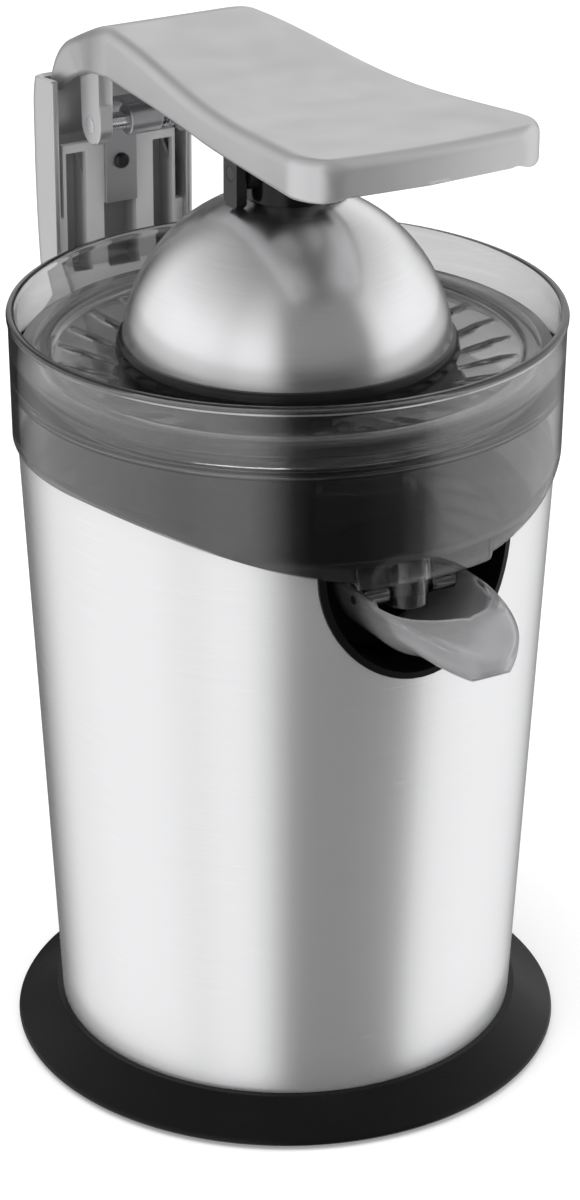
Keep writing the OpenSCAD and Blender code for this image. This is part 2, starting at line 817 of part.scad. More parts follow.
cap_lug_h = 6;
module cap_lugs(z0, z1) {
    for (a = motor_screw_dirs) rotate(a) translate([motor_screw_r, 0, z0])
        cylinder(r = post_r, h = z1 - z0, $fn = plain);
}

module motor_upper_cap() {
    color([0.6, 0.6, 0.62]) difference() {
        at_motor() difference() {
            union() {
                ring(stator_r - cap_t, motor_r, stack_top + seat, motor_top);
                ring(0, motor_r, motor_top - cap_t, motor_top);
                ring(0, bearing_r + cap_t, motor_top - cap_t - bearing_t, motor_top);
                ring(0, motor_nose_r, motor_top - cap_t, motor_top + case_wall);
                cap_lugs(motor_top - cap_lug_h, motor_top);
            }
            raise(motor_top - cap_t - bearing_t - over)
                cylinder(r = bearing_r + seat, h = bearing_t + over, $fn = plain);
            raise(stack_top) cylinder(r = motor_shaft_r + shaft_room,
                h = case_h + stack_h, $fn = plain);
        }
        motor_screw_bores(screw_r + screw_gap, stack_top, case_z + over);
    }
}

brush_room = 3;
module motor_lower_cap() {
    color([0.6, 0.6, 0.62]) difference() {
        at_motor() difference() {
            union() {
                ring(stator_r - cap_t, motor_r, motor_foot, stack_z - seat);
                ring(0, motor_r, motor_foot, motor_foot + cap_t);
                ring(0, bearing_r + cap_t, motor_foot, motor_foot + cap_t + bearing_t);
                cap_lugs(motor_foot, motor_foot + cap_lug_h);
                for (s = [0, 180]) rotate(s)
                    translate([commutator_r + brush_room, -brush_w / 2 - cap_t, commutator_z - cap_t])
                        cube([stator_r - over - commutator_r - brush_room, brush_w + 2 * cap_t,
                            brush_h + 2 * cap_t]);
            }
            raise(motor_foot + cap_t)
                cylinder(r = bearing_r + seat, h = bearing_t + over, $fn = plain);
            raise(motor_foot - over)
                cylinder(r = motor_shaft_r + shaft_room, h = stack_h, $fn = plain);
            for (s = [0, 180]) rotate(s)
                translate([0, -brush_w / 2 - seat, commutator_z - seat])
                    cube([stator_r - brush_room, brush_w + 2 * seat, brush_h + 2 * seat]);
        }
        motor_screw_bores(screw_r + screw_gap, motor_foot - over, stack_z);
    }
}

brush_w = 5;
brush_h = 6;
module carbon_brushes() {
    color([0.15, 0.15, 0.15]) at_motor() for (s = [0, 180]) rotate(s)
        translate([commutator_r + seat, -brush_w / 2, commutator_z])
            cube([stator_r - brush_room - seat * 2 - commutator_r, brush_w, brush_h]);
}

module motor_screws() {
    color("silver") at_motor() for (a = motor_screw_dirs) rotate(a)
        translate([motor_screw_r, 0, motor_foot - seat / 2]) screw(case_z + case_wall - motor_foot);
}

module motor_rotor() {
    slots = 12;
    slot_share = 0.12;
    color([0.5, 0.5, 0.52]) at_motor() difference() {
        raise(stack_z) cylinder(r = rotor_r, h = stack_h, $fn = fine);
        for (i = [0 : slots - 1]) rotate(360 * i / slots)
            translate([rotor_r * (1 - slot_share), -rotor_r * slot_share / 2, stack_z - over])
                cube([rotor_r, rotor_r * slot_share, stack_h + 2 * over]);
        raise(stack_z - over) cylinder(r = motor_shaft_r, h = stack_h + 2 * over, $fn = plain);
    }
}

module motor_shaft() {
    foot = motor_foot - fan_gap - fan_h;
    color("silver") at_motor() raise(foot)
        cylinder(r = motor_shaft_r, h = gear_1_z + gear_1_t + shaft_end - foot, $fn = plain);
}

module commutator() {
    color("peru") at_motor()
        ring(motor_shaft_r, commutator_r, commutator_z - commutator_gap,
            commutator_z + commutator_h - commutator_gap);
}

module motor_bearings() {
    color("silver") at_motor() for (z = [motor_foot + cap_t + seat, motor_top - cap_t - bearing_t + seat])
        ring(motor_shaft_r + run_gap, bearing_r, z, z + bearing_t - 2 * seat);
}

module motor_pinion() {
    color("silver") at_motor() difference() {
        raise(gear_1_z) linear_extrude(gear_1_t) rotate(motor_dir + 180)
            gear_outline(module_1, pinion_teeth);
        raise(gear_1_z - over)
            cylinder(r = motor_shaft_r, h = gear_1_t + 2 * over, $fn = plain);
    }
}

fan_hub = 3;
module cooling_fan() {
    blades = 9;
    blade_t = 1.2;
    fan_z = motor_foot - fan_gap - fan_h;
    fan_inset = 2;
    fan_root = 2;
    fan_r = stator_r - fan_inset;
    color([0.9, 0.9, 0.9]) at_motor() difference() {
        union() {
            ring(0, motor_shaft_r + fan_hub, fan_z, fan_z + fan_h);
            ring(0, fan_r, fan_z + fan_h - blade_t, fan_z + fan_h);
            for (i = [0 : blades - 1]) rotate(360 * i / blades)
                translate([motor_shaft_r + fan_root, -blade_t / 2, fan_z])
                    cube([fan_r - motor_shaft_r - fan_hub, blade_t, fan_h]);
        }
        raise(fan_z - over) cylinder(r = motor_shaft_r, h = fan_h + 2 * over, $fn = plain);
    }
}

// Juice collector
ledge_drop = 9;
ledge_z = strainer_z - ledge_drop;
ledge_t = 2;
chimney_gap = 0.5;
chimney_r = tower_r + chimney_gap;
chimney_t = 2;
chimney_rise = 6.5;
chimney_top = tower_z + chimney_rise;
bead = 0.5;
bead_h = 2.4;
floor_t = 2;
lug_r = 3.4;
pin_y = chute_y;
pin_drop = 1.5;
pin_z = spout_z - pin_drop;
spout_pin_r = 1.6;
lug_gap = 1.2;
lug_half = mouth_r - spout_t - lug_gap;
chute_lap = 1;
chute_top = floor_z - floor_t - chute_y * tan(floor_fall) + chute_lap;
function collector_r(z) = lerp(collector_foot_r, rim_r, (z - apron_z) / (rim_z - apron_z));

// The collector's outer wall as a band between two insets
module collector_band(out, inn, z0, z1) {
    rotate_extrude($fn = fine) polygon([
        [collector_r(z0) - inn, z0], [collector_r(z0) - out, z0],
        [collector_r(z1) - out, z1], [collector_r(z1) - inn, z1]]);
}

// A slab that falls towards the front, its top at the given height over the axis
module sloped_slab(top, t) {
    raise(top) rotate([floor_fall, 0, 0]) translate([-wide, -wide, -t])
        cube([2 * wide, 2 * wide, t]);
}

lining_r = sleeve_top_r - sleeve_t - edge_gap;
ledge_w = 4;
lug_root = 2;
chute_wall = 2;
pin_bore_gap = 0.5;
module juice_collector() {
    color([0.35, 0.35, 0.38, 0.6]) difference() {
        union() {
            collector_band(0, collector_t, apron_z, rim_z);
            collector_band(-bead, collector_t, rim_z - bead_h, rim_z);
            collector_band(collector_t / 2, collector_t + ledge_w, ledge_z - ledge_t, ledge_z);
            difference() {
                union() {
                    ring(lining_r - collector_t, lining_r, apron_z, sleeve_top_z + collector_t);
                    intersection() {
                        ring(lining_r - collector_t, collector_foot_r - collector_t / 2, apron_z,
                            sleeve_top_z + 2 * collector_t);
                        under_edge(edge_gap + collector_t);
                    }
                }
                sloped_slab(floor_z - floor_t, 2 * wide);
            }
            intersection() {
                sloped_slab(floor_z, floor_t);
                cylinder(r = collector_foot_r - collector_t / 2, h = rim_z, $fn = fine);
            }
            ring(chimney_r, chimney_r + chimney_t, floor_z - floor_t, chimney_top);
            translate([0, -chute_y, chute_z])
                cylinder(r = chute_r, h = chute_top - chute_z, $fn = plain);
            for (s = [-1, 1]) rod_x(lug_r, s > 0 ? chute_r - lug_root : -lug_half,
                s > 0 ? lug_half : lug_root - chute_r,
                -pin_y, pin_z);
        }
        difference() {
            intersection() {
                under_edge(edge_gap);
                ring(lining_r, 2 * wide, 0, rim_z);
            }
            translate([-apron_half_w, -wide, apron_z]) cube([2 * apron_half_w, wide, wide]);
        }
        raise(deck_z) cylinder(r = chimney_r, h = chimney_top - deck_z + over, $fn = fine);
        translate([0, -chute_y, chute_z - over])
            cylinder(r = chute_r - chute_wall, h = floor_z - chute_z, $fn = plain);
        for (s = [-1, 1]) rod_x(spout_pin_r, s > 0 ? chute_r + pin_bore_gap : -wide,
            s > 0 ? wide : -chute_r - pin_bore_gap,
            -pin_y, pin_z);
    }
}

// Strainer
skirt_gap = 0.6;
knee_share = 0.65;
well_share = 0.7;
hub_gap = 1.5;
lip_gap = 0.8;
slot_l = 10;
outer_slot_in = 4;
inner_slot_in = 3;
bend_outer_share = 1.4;
bend_inner_share = 2.4;
module strainer() {
    t = strainer_t;
    skirt_r = collector_r(strainer_z) - collector_t - skirt_gap;
    skirt_z = ledge_z + seat;
    low = strainer_z - dish_drop;
    knee_in = 1;
    knee_r = ring_r - knee_in;
    knee_z = strainer_z - dish_drop * knee_share;
    well_r = knee_r * well_share;
    hub_in = chimney_r + chimney_t + edge_gap;
    hub_top = cone_z - press_travel - hub_gap;
    lip_r = cone_sleeve_r + lip_gap;
    color([0.4, 0.4, 0.42, 0.7]) difference() {
        rotate_extrude($fn = fine) polygon([
            [skirt_r, skirt_z], [skirt_r, strainer_z], [dish_r, strainer_z],
            [dish_r - t, strainer_z - bend_outer_share * t], [knee_r, knee_z], [well_r, low],
            [hub_in + t, low],
            [hub_in + t, hub_top], [lip_r, hub_top], [lip_r, hub_top - t], [hub_in, hub_top - t],
            [hub_in, low - t], [well_r + t / 3, low - t], [knee_r + t / 3, knee_z - t],
            [dish_r - t / 2, strainer_z - bend_inner_share * t], [dish_r + t / 2, strainer_z - t],
            [skirt_r - t, strainer_z - t], [skirt_r - t, skirt_z]]);
        for (i = [0 : slot_count - 1]) rotate(360 * (i + 0.5) / slot_count) {
            translate([knee_r + outer_slot_in, -slot_w / 2, low - 2 * t])
                cube([slot_l, slot_w, 2 * dish_drop]);
            translate([well_r - slot_l - inner_slot_in, -slot_w / 2, low - 2 * t])
                cube([slot_l, slot_w, dish_drop]);
        }
    }
}

// Spout: mouth, throat and a round nose with its hole underneath
module spout_form(inset) {
    translate([0, -mouth_y, spout_z]) rotate([-90, 0, 0])
        cylinder(r = mouth_r - inset, h = mouth_y - spout_back_y - inset, $fn = fine);
    translate([0, -throat_y, spout_z]) rotate([-90, 0, 0])
        cylinder(r1 = spout_r - inset, r2 = mouth_r - inset, h = throat_y - mouth_y, $fn = fine);
    translate([0, -nose_y, spout_z]) rotate([-90, 0, 0])
        cylinder(r = spout_r - inset, h = nose_y - throat_y, $fn = fine);
    translate([0, -nose_y, spout_z]) sphere(r = spout_r - inset, $fn = fine);
}

mouth_lift = 2;
lip_lift = spout_r * 3 / 4;
low_lift = spout_r / 4;
lip_in = spout_r / 5;
low_share = 0.7;
module spout() {
    color([0.75, 0.75, 0.78, 0.6]) difference() {
        spout_form(0);
        spout_form(spout_t);
        slab(-wide, wide) polygon([
            [-spout_back_y + over, spout_z + mouth_lift], [-mouth_y, spout_z + mouth_lift],
            [-throat_y, spout_z], [-lerp(throat_y, nose_y, low_share), spout_z + low_lift],
            [-nose_y - lip_in, spout_z + lip_lift],
            [-nose_y - lip_in, spout_z + 2 * mouth_r],
            [-spout_back_y + over, spout_z + 2 * mouth_r]]);
        translate([0, -nose_y, spout_z - 2 * spout_r]) cylinder(r = pour_r, h = 2 * spout_r, $fn = plain);
        rod_x(spout_pin_r + run_gap, -wide, wide, -pin_y, pin_z);
    }
}

module spout_pins() {
    color("silver") for (s = [-1, 1])
        rod_x(spout_pin_r, s > 0 ? chute_r + pin_bore_gap : seat - mouth_r,
            s > 0 ? mouth_r - seat : -chute_r - pin_bore_gap,
            -pin_y, pin_z);
}

// Reaming cone: an ogive with ribs
cone_sleeve_r = 8;
cone_flange_t = 2;
cone_sleeve_gap = 1;
cone_sleeve_z = tower_z + press_travel + cone_sleeve_gap;
ogive_power = 1.7;
hollow_power = 0.8;
rib_twist = 14;
steps_per_rib = 8;
cone_lap = 0.2;
flange_w = 1.5;
function ogive_r(u) = cone_r * sqrt(1 - pow(u, ogive_power));
module ribbed_ogive() {
    rows = 12;
    around = cone_ribs * steps_per_rib;
    tip_share = 0.985;
    function hollow(a) = pow(abs(sin(cone_ribs * a / 2)), hollow_power);
    function rim(u, a) = ogive_r(u) * (1 - rib_share * hollow(a) * (1 - 0.5 * u));
    points = concat(
        [for (j = [0 : rows - 1]) let (u = tip_share * sin(90 * j / (rows - 1))) for (i = [0 : around - 1])
            let (a = 360 * i / around + rib_twist * u)
                [rim(u, a) * cos(a), rim(u, a) * sin(a), cone_h * u]],
        [[0, 0, cone_h], [0, 0, 0]]);
    tip = rows * around;
    sides = [for (j = [0 : rows - 2], i = [0 : around - 1])
        let (p = j * around + i, q = j * around + (i + 1) % around)
            each [[p, p + around, q], [q, p + around, q + around]]];
    caps = [for (i = [0 : around - 1]) let (k = (i + 1) % around)
        each [[(rows - 1) * around + i, tip, (rows - 1) * around + k], [i, k, tip + 1]]];
    polyhedron(points, concat(sides, caps));
}

module reamer_cone() {
    socket_gap = 0.1;
    color([0.12, 0.12, 0.12]) difference() {
        union() {
            raise(cone_z + cone_flange_t - cone_lap) ribbed_ogive();
            raise(cone_z) cylinder(r = cone_r + flange_w, h = cone_flange_t, $fn = fine);
            raise(cone_sleeve_z)
                cylinder(r = cone_sleeve_r, h = cone_z - cone_sleeve_z + over, $fn = plain);
        }
        raise(cone_sleeve_z - over)
            cylinder(r = drive_hex_r + socket_gap, h = shaft_top_z + seat - cone_sleeve_z + over, $fn = 6);
    }
}

// Press dome
liner_t = 2;
liner_r = dome_r - dome_t - seat;
stem_r = 5;
dome_screw_z = dome_z + liner_r - liner_t;
module dome_shell() {
    color("silver") difference() {
        intersection() {
            raise(dome_z) sphere(r = dome_r, $fn = fine);
            raise(dome_edge_z) cylinder(r = wide, h = wide, $fn = plain);
        }
        raise(dome_z) sphere(r = dome_r - dome_t, $fn = fine);
        cylinder(r = stem_r + seat, h = tilt_z, $fn = plain);
    }
}

ring_round = 1;
ring_lip_shares = [0.6, 1.4];
liner_rib_share = 0.62;
module dome_liner() {
    ribs = 8;
    rib_t = 2;
    rib_h = 5;
    shelf = dome_edge_z - seat;
    color([0.1, 0.1, 0.1]) difference() {
        union() {
            intersection() {
                raise(dome_z) sphere(r = liner_r, $fn = fine);
                raise(ring_z) cylinder(r = wide, h = wide, $fn = plain);
            }
            rotate_extrude($fn = fine) polygon([
                [liner_r - liner_t, ring_z], [ring_r - ring_round, ring_z],
                [ring_r, ring_z + 2 * ring_round],
                [ring_r - ring_round * ring_lip_shares[0], shelf - ring_round],
                [ring_r - ring_round * ring_lip_shares[1], shelf], [liner_r - liner_t, shelf]]);
        }
        difference() {
            union() {
                raise(dome_z) sphere(r = liner_r - liner_t, $fn = fine);
                raise(ring_z - over)
                    cylinder(r = liner_r - liner_t, h = dome_z - ring_z + over, $fn = fine);
            }
            for (i = [0 : ribs - 1]) rotate(360 * (i + 0.5) / ribs)
                difference() {
                    translate([cone_r, -rib_t / 2, dome_edge_z])
                        cube([liner_r, rib_t, liner_r * liner_rib_share]);
                    raise(dome_z) sphere(r = liner_r - liner_t - rib_h, $fn = plain);
                }
        }
        cylinder(r = screw_r + screw_gap, h = tilt_z, $fn = plain);
    }
}

hub_rise = 3.5;
hub_top = tilt_z + hub_rise;
hub_foot_share = 0.9;
hub_foot = dome_z + dome_r * hub_foot_share;
ear_out = 3.7;
screw_bed = 2;
ear_play = 0.3;
cheek_r = 6;
ear_x0 = hub_r + ear_out;
ear_t = 3.8;
module dome_hub() {
    color([0.1, 0.1, 0.1]) difference() {
        union() {
            difference() {
                raise(hub_foot) cylinder(r = hub_r,
                    h = hub_top - hub_foot, $fn = fine);
                raise(dome_z) sphere(r = dome_r + seat, $fn = fine);
            }
            raise(dome_z + liner_r + seat)
                cylinder(r = stem_r, h = tilt_z - dome_z - liner_r, $fn = plain);
            rod_x(cheek_r, -ear_x0 + ear_play, ear_x0 - ear_play, 0, tilt_z);
        }
        rod_x(tilt_pin_r + run_gap, -wide, wide, 0, tilt_z);
        raise(dome_z) cylinder(r = screw_r + screw_gap,
            h = tilt_z - tilt_pin_r - screw_bed - dome_z, $fn = plain);
    }
}

module dome_screw() {
    color("silver") raise(dome_screw_z - ear_play)
        screw(tilt_z - tilt_pin_r - screw_bed - switch_gap - dome_screw_z);
}

// Press arm: each station of its loft is an outer point, an inner point and a half width
wave_shift = 12;
wave_length = 160;
front_t = 13.6;
elbow_t = 17;
side_tuck = 2;
tuck_run = 32;
end_depth = 8.5;
end_r = elbow_r - end_depth;
front_swell_y = 20;
front_swell_run = 60;
elbow_swell_y = 5;
elbow_swell_run = 75;
low_knee_shares = [0.62, 0.2];
bend_share = 0.55;
nose_shares = [[0, 0.4, 0.67], [0.17, 0.2, 0.3], [0.5, 0.07, 0.1]];
edge_round = 3.6;
front_round = 6;
nose_end_share = 0.6;
straight_steps = 12;
bend_steps = 6;
arc_steps = 6;
function arm_top(y) = arm_top_z - arm_wave * cos(360 * (y + wave_shift) / wave_length);
function arm_thick(y) = arm_t + (front_t - arm_t) * smooth((-y - front_swell_y) / front_swell_run)
    + (elbow_t - arm_t) * smooth((y + elbow_swell_y) / elbow_swell_run);
function arm_bottom(y) = arm_top(y) - arm_thick(y);
function arm_w(y) = arm_half_w - arm_flare * y - side_tuck * smooth((y - elbow_y) / tuck_run);
function about_hinge(r, a) = [hinge_y + r * cos(a), hinge_z + r * sin(a)];
function curve(a, b, c, t) = (1 - t) * (1 - t) * a + 2 * t * (1 - t) * b + t * t * c;
top_start = [elbow_y, arm_top(elbow_y)];
top_end = about_hinge(elbow_r, arc_start);
top_knee = [top_end[0] - (top_start[1] - top_end[1]) * tan(arc_start), top_start[1]];
low_start = [elbow_y, arm_bottom(elbow_y)];
low_end = about_hinge(end_r, seam_angle);
low_knee = [for (i = [0, 1]) lerp(low_start[i], low_end[i], low_knee_shares[i])];
function straight_station(y) = [[y, arm_top(y)], [y, arm_bottom(y)], arm_w(y)];
function bend_station(t) = let (p = curve(top_start, top_knee, top_end, t),
    q = curve(low_start, low_knee, low_end, t * bend_share)) [p, q, arm_w(p[0])];
function arc_station(t) = let (p = about_hinge(elbow_r, lerp(arc_start, seam_angle, t)),
    q = curve(low_start, low_knee, low_end, lerp(bend_share, 1, t))) [p, q, arm_w(p[0])];
arm_stations = concat(
    [for (i = [0 : straight_steps]) straight_station(lerp(-arm_front, elbow_y, i / straight_steps))],
    [for (i = [1 : bend_steps]) bend_station(i / bend_steps)],
    [for (i = [1 : arc_steps]) arc_station(i / arc_steps)]);

// Moves a station's top, bottom and sides in
function inset_station(s, top, low, side) = let (d = (s[0] - s[1]) / norm(s[0] - s[1]))
    [s[0] - d * top, s[1] + d * low, s[2] - side];

// Stations that shrink towards the front face: shares of run, height and side
nose_stations = [for (f = nose_shares) let (s = straight_station(front_round * f[0] - arm_front))
    inset_station(s, front_round * f[1], front_round * f[1], front_round * f[2])];
function elbow_top(y) = lookup(y, [for (s = arm_stations) s[0]]);
function elbow_low(y) = lookup(y, [for (s = arm_stations) s[1]]);

// One rounded rectangle of the loft: the corners are quarter circles
corner_steps = 4;
round_share = 5 / 11;
function section(s, round) = let (d = s[0] - s[1], h = norm(d), u = d / h, r = min(round, h * round_share),
    m = (s[0] + s[1]) / 2)
    [for (c = [0 : 3], k = [0 : corner_steps]) let (a = 90 * c + 90 * k / corner_steps,
        x = (s[2] - r) * (c == 0 || c == 3 ? 1 : -1) + r * cos(a),
        v = (h / 2 - r) * (c < 2 ? 1 : -1) + r * sin(a), p = m + u * v) [x, p[0], p[1]]];

module loft(stations, round) {
    n = 4 * (corner_steps + 1);
    rows = len(stations);
    points = [for (s = stations) each section(s, round)];
    walls = [for (j = [0 : rows - 2], i = [0 : n - 1])
        let (a = j * n + i, b = j * n + (i + 1) % n) each [[a, b, a + n], [b, b + n, a + n]]];
    first = [for (k = [1 : n - 2]) [0, k + 1, k]];
    last = [for (k = [1 : n - 2]) [(rows - 1) * n, (rows - 1) * n + k, (rows - 1) * n + k + 1]];
    polyhedron(points, concat(walls, first, last));
}

ear_half_d = 4.4;
yoke_t = 4.5;
yoke_top = arm_bottom(0) - seat * 2;
module arm_yoke() {
    ear_drop = 11.3;
    ear_low = tilt_z - ear_drop;
    chamfer = 1.5;
    color([0.08, 0.08, 0.08]) difference() {
        union() {
            for (s = [-1, 1]) slab(s > 0 ? ear_x0 : -ear_x0 - ear_t, s > 0 ? ear_x0 + ear_t : -ear_x0)
                polygon([[-ear_half_d, yoke_top - seat], [-ear_half_d, ear_low + chamfer],
                    [-ear_half_d + chamfer, ear_low], [ear_half_d - chamfer, ear_low],
                    [ear_half_d, ear_low + chamfer], [ear_half_d, yoke_top - seat]]);
            translate([-ear_x0 - ear_t, -hub_r, yoke_top - yoke_t])
                cube([2 * (ear_x0 + ear_t), 2 * hub_r, yoke_t]);
        }
        rod_x(tilt_pin_r, -wide, wide, 0, tilt_z);
        for (x = yoke_screw_xs) translate([x, 0, tilt_z])
            cylinder(r = screw_r + screw_gap, h = wide, $fn = plain);
    }
}

yoke_screw_x = 9;
yoke_screw_xs = [-yoke_screw_x, yoke_screw_x];
yoke_bite = 3.4;
module yoke_screws() {
    color("silver") for (x = yoke_screw_xs) translate([x, 0, yoke_top - yoke_t - seat / 2])
        screw(yoke_t + yoke_bite);
}

module dome_pin() {
    color("silver") rod_x(tilt_pin_r, -ear_x0 - ear_t, ear_x0 + ear_t, 0, tilt_z);
}

arm_boss_ats = [[26, -60], [20, 45]];
arm_boss_places = [for (p = arm_boss_ats, s = [-1, 1]) [s * p[0], p[1]]];
cover_end_gap = 3;
core_below = 3;
arm_boss_r = 3.6;
cover_t = 2.2;
cover_end_y = hinge_y - drum_r - cover_end_gap;
module arm_top_shell() {
    inner = [for (s = arm_stations) if (s[0][0] > -arm_front + arm_wall)
        inset_station(s, arm_wall, -core_below, arm_wall)];
    front = inset_station(straight_station(arm_wall - arm_front), arm_wall, -core_below, arm_wall + over);
    end_dir = [-sin(seam_angle), cos(seam_angle)];
    last = inner[len(inner) - 1];
    past = [last[0] - end_dir * 2 * over, last[1] - end_dir * 2 * over, last[2]];
    color([0.76, 0.76, 0.77]) difference() {
        union() {
            difference() {
                loft(concat(nose_stations, [for (s = arm_stations)
                    if (s[0][0] > front_round * nose_end_share - arm_front) s]), edge_round);
                loft(concat([front], inner, [past]), edge_round - arm_wall / 2);
            }
            for (p = arm_boss_places) translate([p[0], p[1], arm_bottom(p[1]) + cover_t + seat])
                cylinder(r = arm_boss_r, h = arm_thick(p[1]) - cover_t - arm_wall / 2, $fn = plain);
        }
        for (p = arm_boss_places) translate([p[0], p[1], arm_bottom(p[1])])
            cylinder(r = screw_r + screw_gap, h = screw_bite, $fn = plain);
    }
}

module arm_bottom_cover() {
    cover_in = 1;
    y0 = arm_wall + edge_gap + cover_in - arm_front;
    ys = [for (i = [0 : straight_steps]) lerp(y0, cover_end_y, i / straight_steps)];
    gap = arm_wall + 2 * edge_gap;
    color([0.7, 0.7, 0.71]) difference() {
        loft([for (y = ys) [[y, elbow_low(y) + cover_t], [y, elbow_low(y)], arm_w(y) - gap]], cover_t / 4);
        for (p = arm_boss_places) translate([p[0], p[1], arm_bottom(p[1]) - wide / 2])
            cylinder(r = screw_r + screw_gap, h = wide, $fn = plain);
        for (x = yoke_screw_xs) translate([x, 0, arm_bottom(0) - over])
            cylinder(r = screw_r + screw_gap, h = wide, $fn = plain);
    }
}

module arm_screws() {
    arm_screw_short = 0.5;
    color("silver") for (p = arm_boss_places) translate([p[0], p[1], arm_bottom(p[1]) - seat])
        screw(screw_bite - arm_screw_short);
}

// Hinge
knuckle_gap = 0.6;
drum_gap = 5.2;
drum_w = 6;
block_gap = 0.6;
drum_end = column_half_w - column_t - drum_gap;
drum_block = 8;
module hinge_drum() {
    function block_top(y) = elbow_top(y) - arm_wall - block_gap;
    color([0.72, 0.72, 0.73]) difference() {
        for (x = [[-drum_end, -tongue_half_w - knuckle_gap], [drum_end - drum_w, drum_end]]) union() {
            rod_x(drum_r, x[0], x[1], hinge_y, hinge_z);
            slab(x[0], x[1]) polygon([[hinge_y - drum_block, hinge_z], [hinge_y + drum_block, hinge_z],
                [hinge_y + drum_block, block_top(hinge_y + drum_block) - over],
                [hinge_y, block_top(hinge_y) - over / 2],
                [hinge_y - drum_block, block_top(hinge_y - drum_block)]]);
        }
        rod_x(hinge_pin_r + run_gap, -wide, wide, hinge_y, hinge_z);
    }
}

module hinge_pin() {
    color("silver") rod_x(hinge_pin_r, -drum_end, drum_end, hinge_y, hinge_z);
}

torsion_wire_r = 0.8;
torsion_room = 0.4;
torsion_turns = 3;
module torsion_spring() {
    wire = torsion_wire_r;
    x0 = tongue_half_w + knuckle_gap + wire;
    x1 = drum_end - drum_w - knuckle_gap - wire;
    color("silver") translate([0, hinge_y, hinge_z]) rotate([0, 90, 0])
        helix(hinge_pin_r + wire + torsion_room, wire, torsion_turns, x0, x1);
}

tongue_t = 1.6;
tongue_h = 23;
tongue_screw_drop = 8;
barrel_wall = 1;
barrel_from = 5;
barrel_to = -45;
barrel_share = 0.6;
tongue_low = frame_top_z - tongue_h;
tongue_screw_z = frame_top_z - tongue_screw_drop;
module hinge_tongue() {
    barrel_r = drum_r + barrel_wall;
    color([0.35, 0.35, 0.36]) difference() {
        union() {
            rod_x(barrel_r, -tongue_half_w, tongue_half_w, hinge_y, hinge_z);
            slab(-tongue_half_w, tongue_half_w) polygon([
                [column_front - tongue_t, tongue_low], [column_front - seat / 2, tongue_low],
                [column_front - seat / 2, hinge_z - barrel_r + barrel_wall],
                about_hinge(barrel_r, barrel_from), about_hinge(barrel_r * barrel_share, barrel_to),
                [column_front - tongue_t, tongue_screw_z + screw_head_r + barrel_wall]]);
        }
        rod_x(hinge_pin_r + run_gap, -wide, wide, hinge_y, hinge_z);
        rod_y(screw_r + screw_gap, hinge_y, wide, 0, tongue_screw_z);
    }
}

module tongue_screw() {
    color([0.1, 0.1, 0.1]) translate([0, column_front - tongue_t - seat / 2, tongue_screw_z])
        rotate([-90, 0, 0]) screw(screw_bite);
}

// Column
column_rear_r = elbow_r + edge_gap + column_t;
frame_side_gap = 3;
frame_half_w = column_half_w - column_t - frame_side_gap;
bow_in = 4;
bow_y = sleeve_top_r - bow_in;
bow_drop = 18;
bow_z = hinge_z - bow_drop;
bow_steps = 12;
function bow(inset) = [for (i = [0 : bow_steps]) let (a = -90 * i / bow_steps)
    [bow_y + (hinge_y + column_rear_r - bow_y - inset) * cos(a),
     bow_z + (bow_z - column_foot_z - inset) * sin(a)]];
rear_steps = 4;
function rear_arc(inset) = [for (i = [0 : rear_steps])
    about_hinge(column_rear_r - inset, lerp(seam_angle, 0, i / rear_steps))];
shell_proud = 3;
shell_front = column_front - shell_proud;
foot_proud = 3;
foot_top = sleeve_top_z + foot_proud;
foot_in = 9;
foot_out = 2;
foot_slope = 22;
cheek_share = 0.42;
module column_region(inset, front) {
    polygon(concat(rear_arc(inset), bow(inset),
        [[bow_y - foot_in, column_foot_z + inset], [bow_y - foot_in, foot_top - inset],
         [rim_r + foot_out + inset / 2, foot_top - inset],
         [front, foot_top + foot_slope], [front, hinge_z + elbow_r * cheek_share]]));
}

module column_shell() {
    color([0.78, 0.78, 0.79]) difference() {
        slab(-column_half_w, column_half_w) column_region(0, shell_front);
        slab(column_t - column_half_w, column_half_w - column_t)
            polygon(concat(rear_arc(column_t), bow(column_t),
                [[0, column_foot_z + column_t], [0, wide * 2], [hinge_y + elbow_r, wide * 2]]));
        taper(-seat, base_h, sleeve_top_z + over);
        ring(0, rim_r + bead + edge_gap, sleeve_top_z - over, rim_z + over);
    }
}

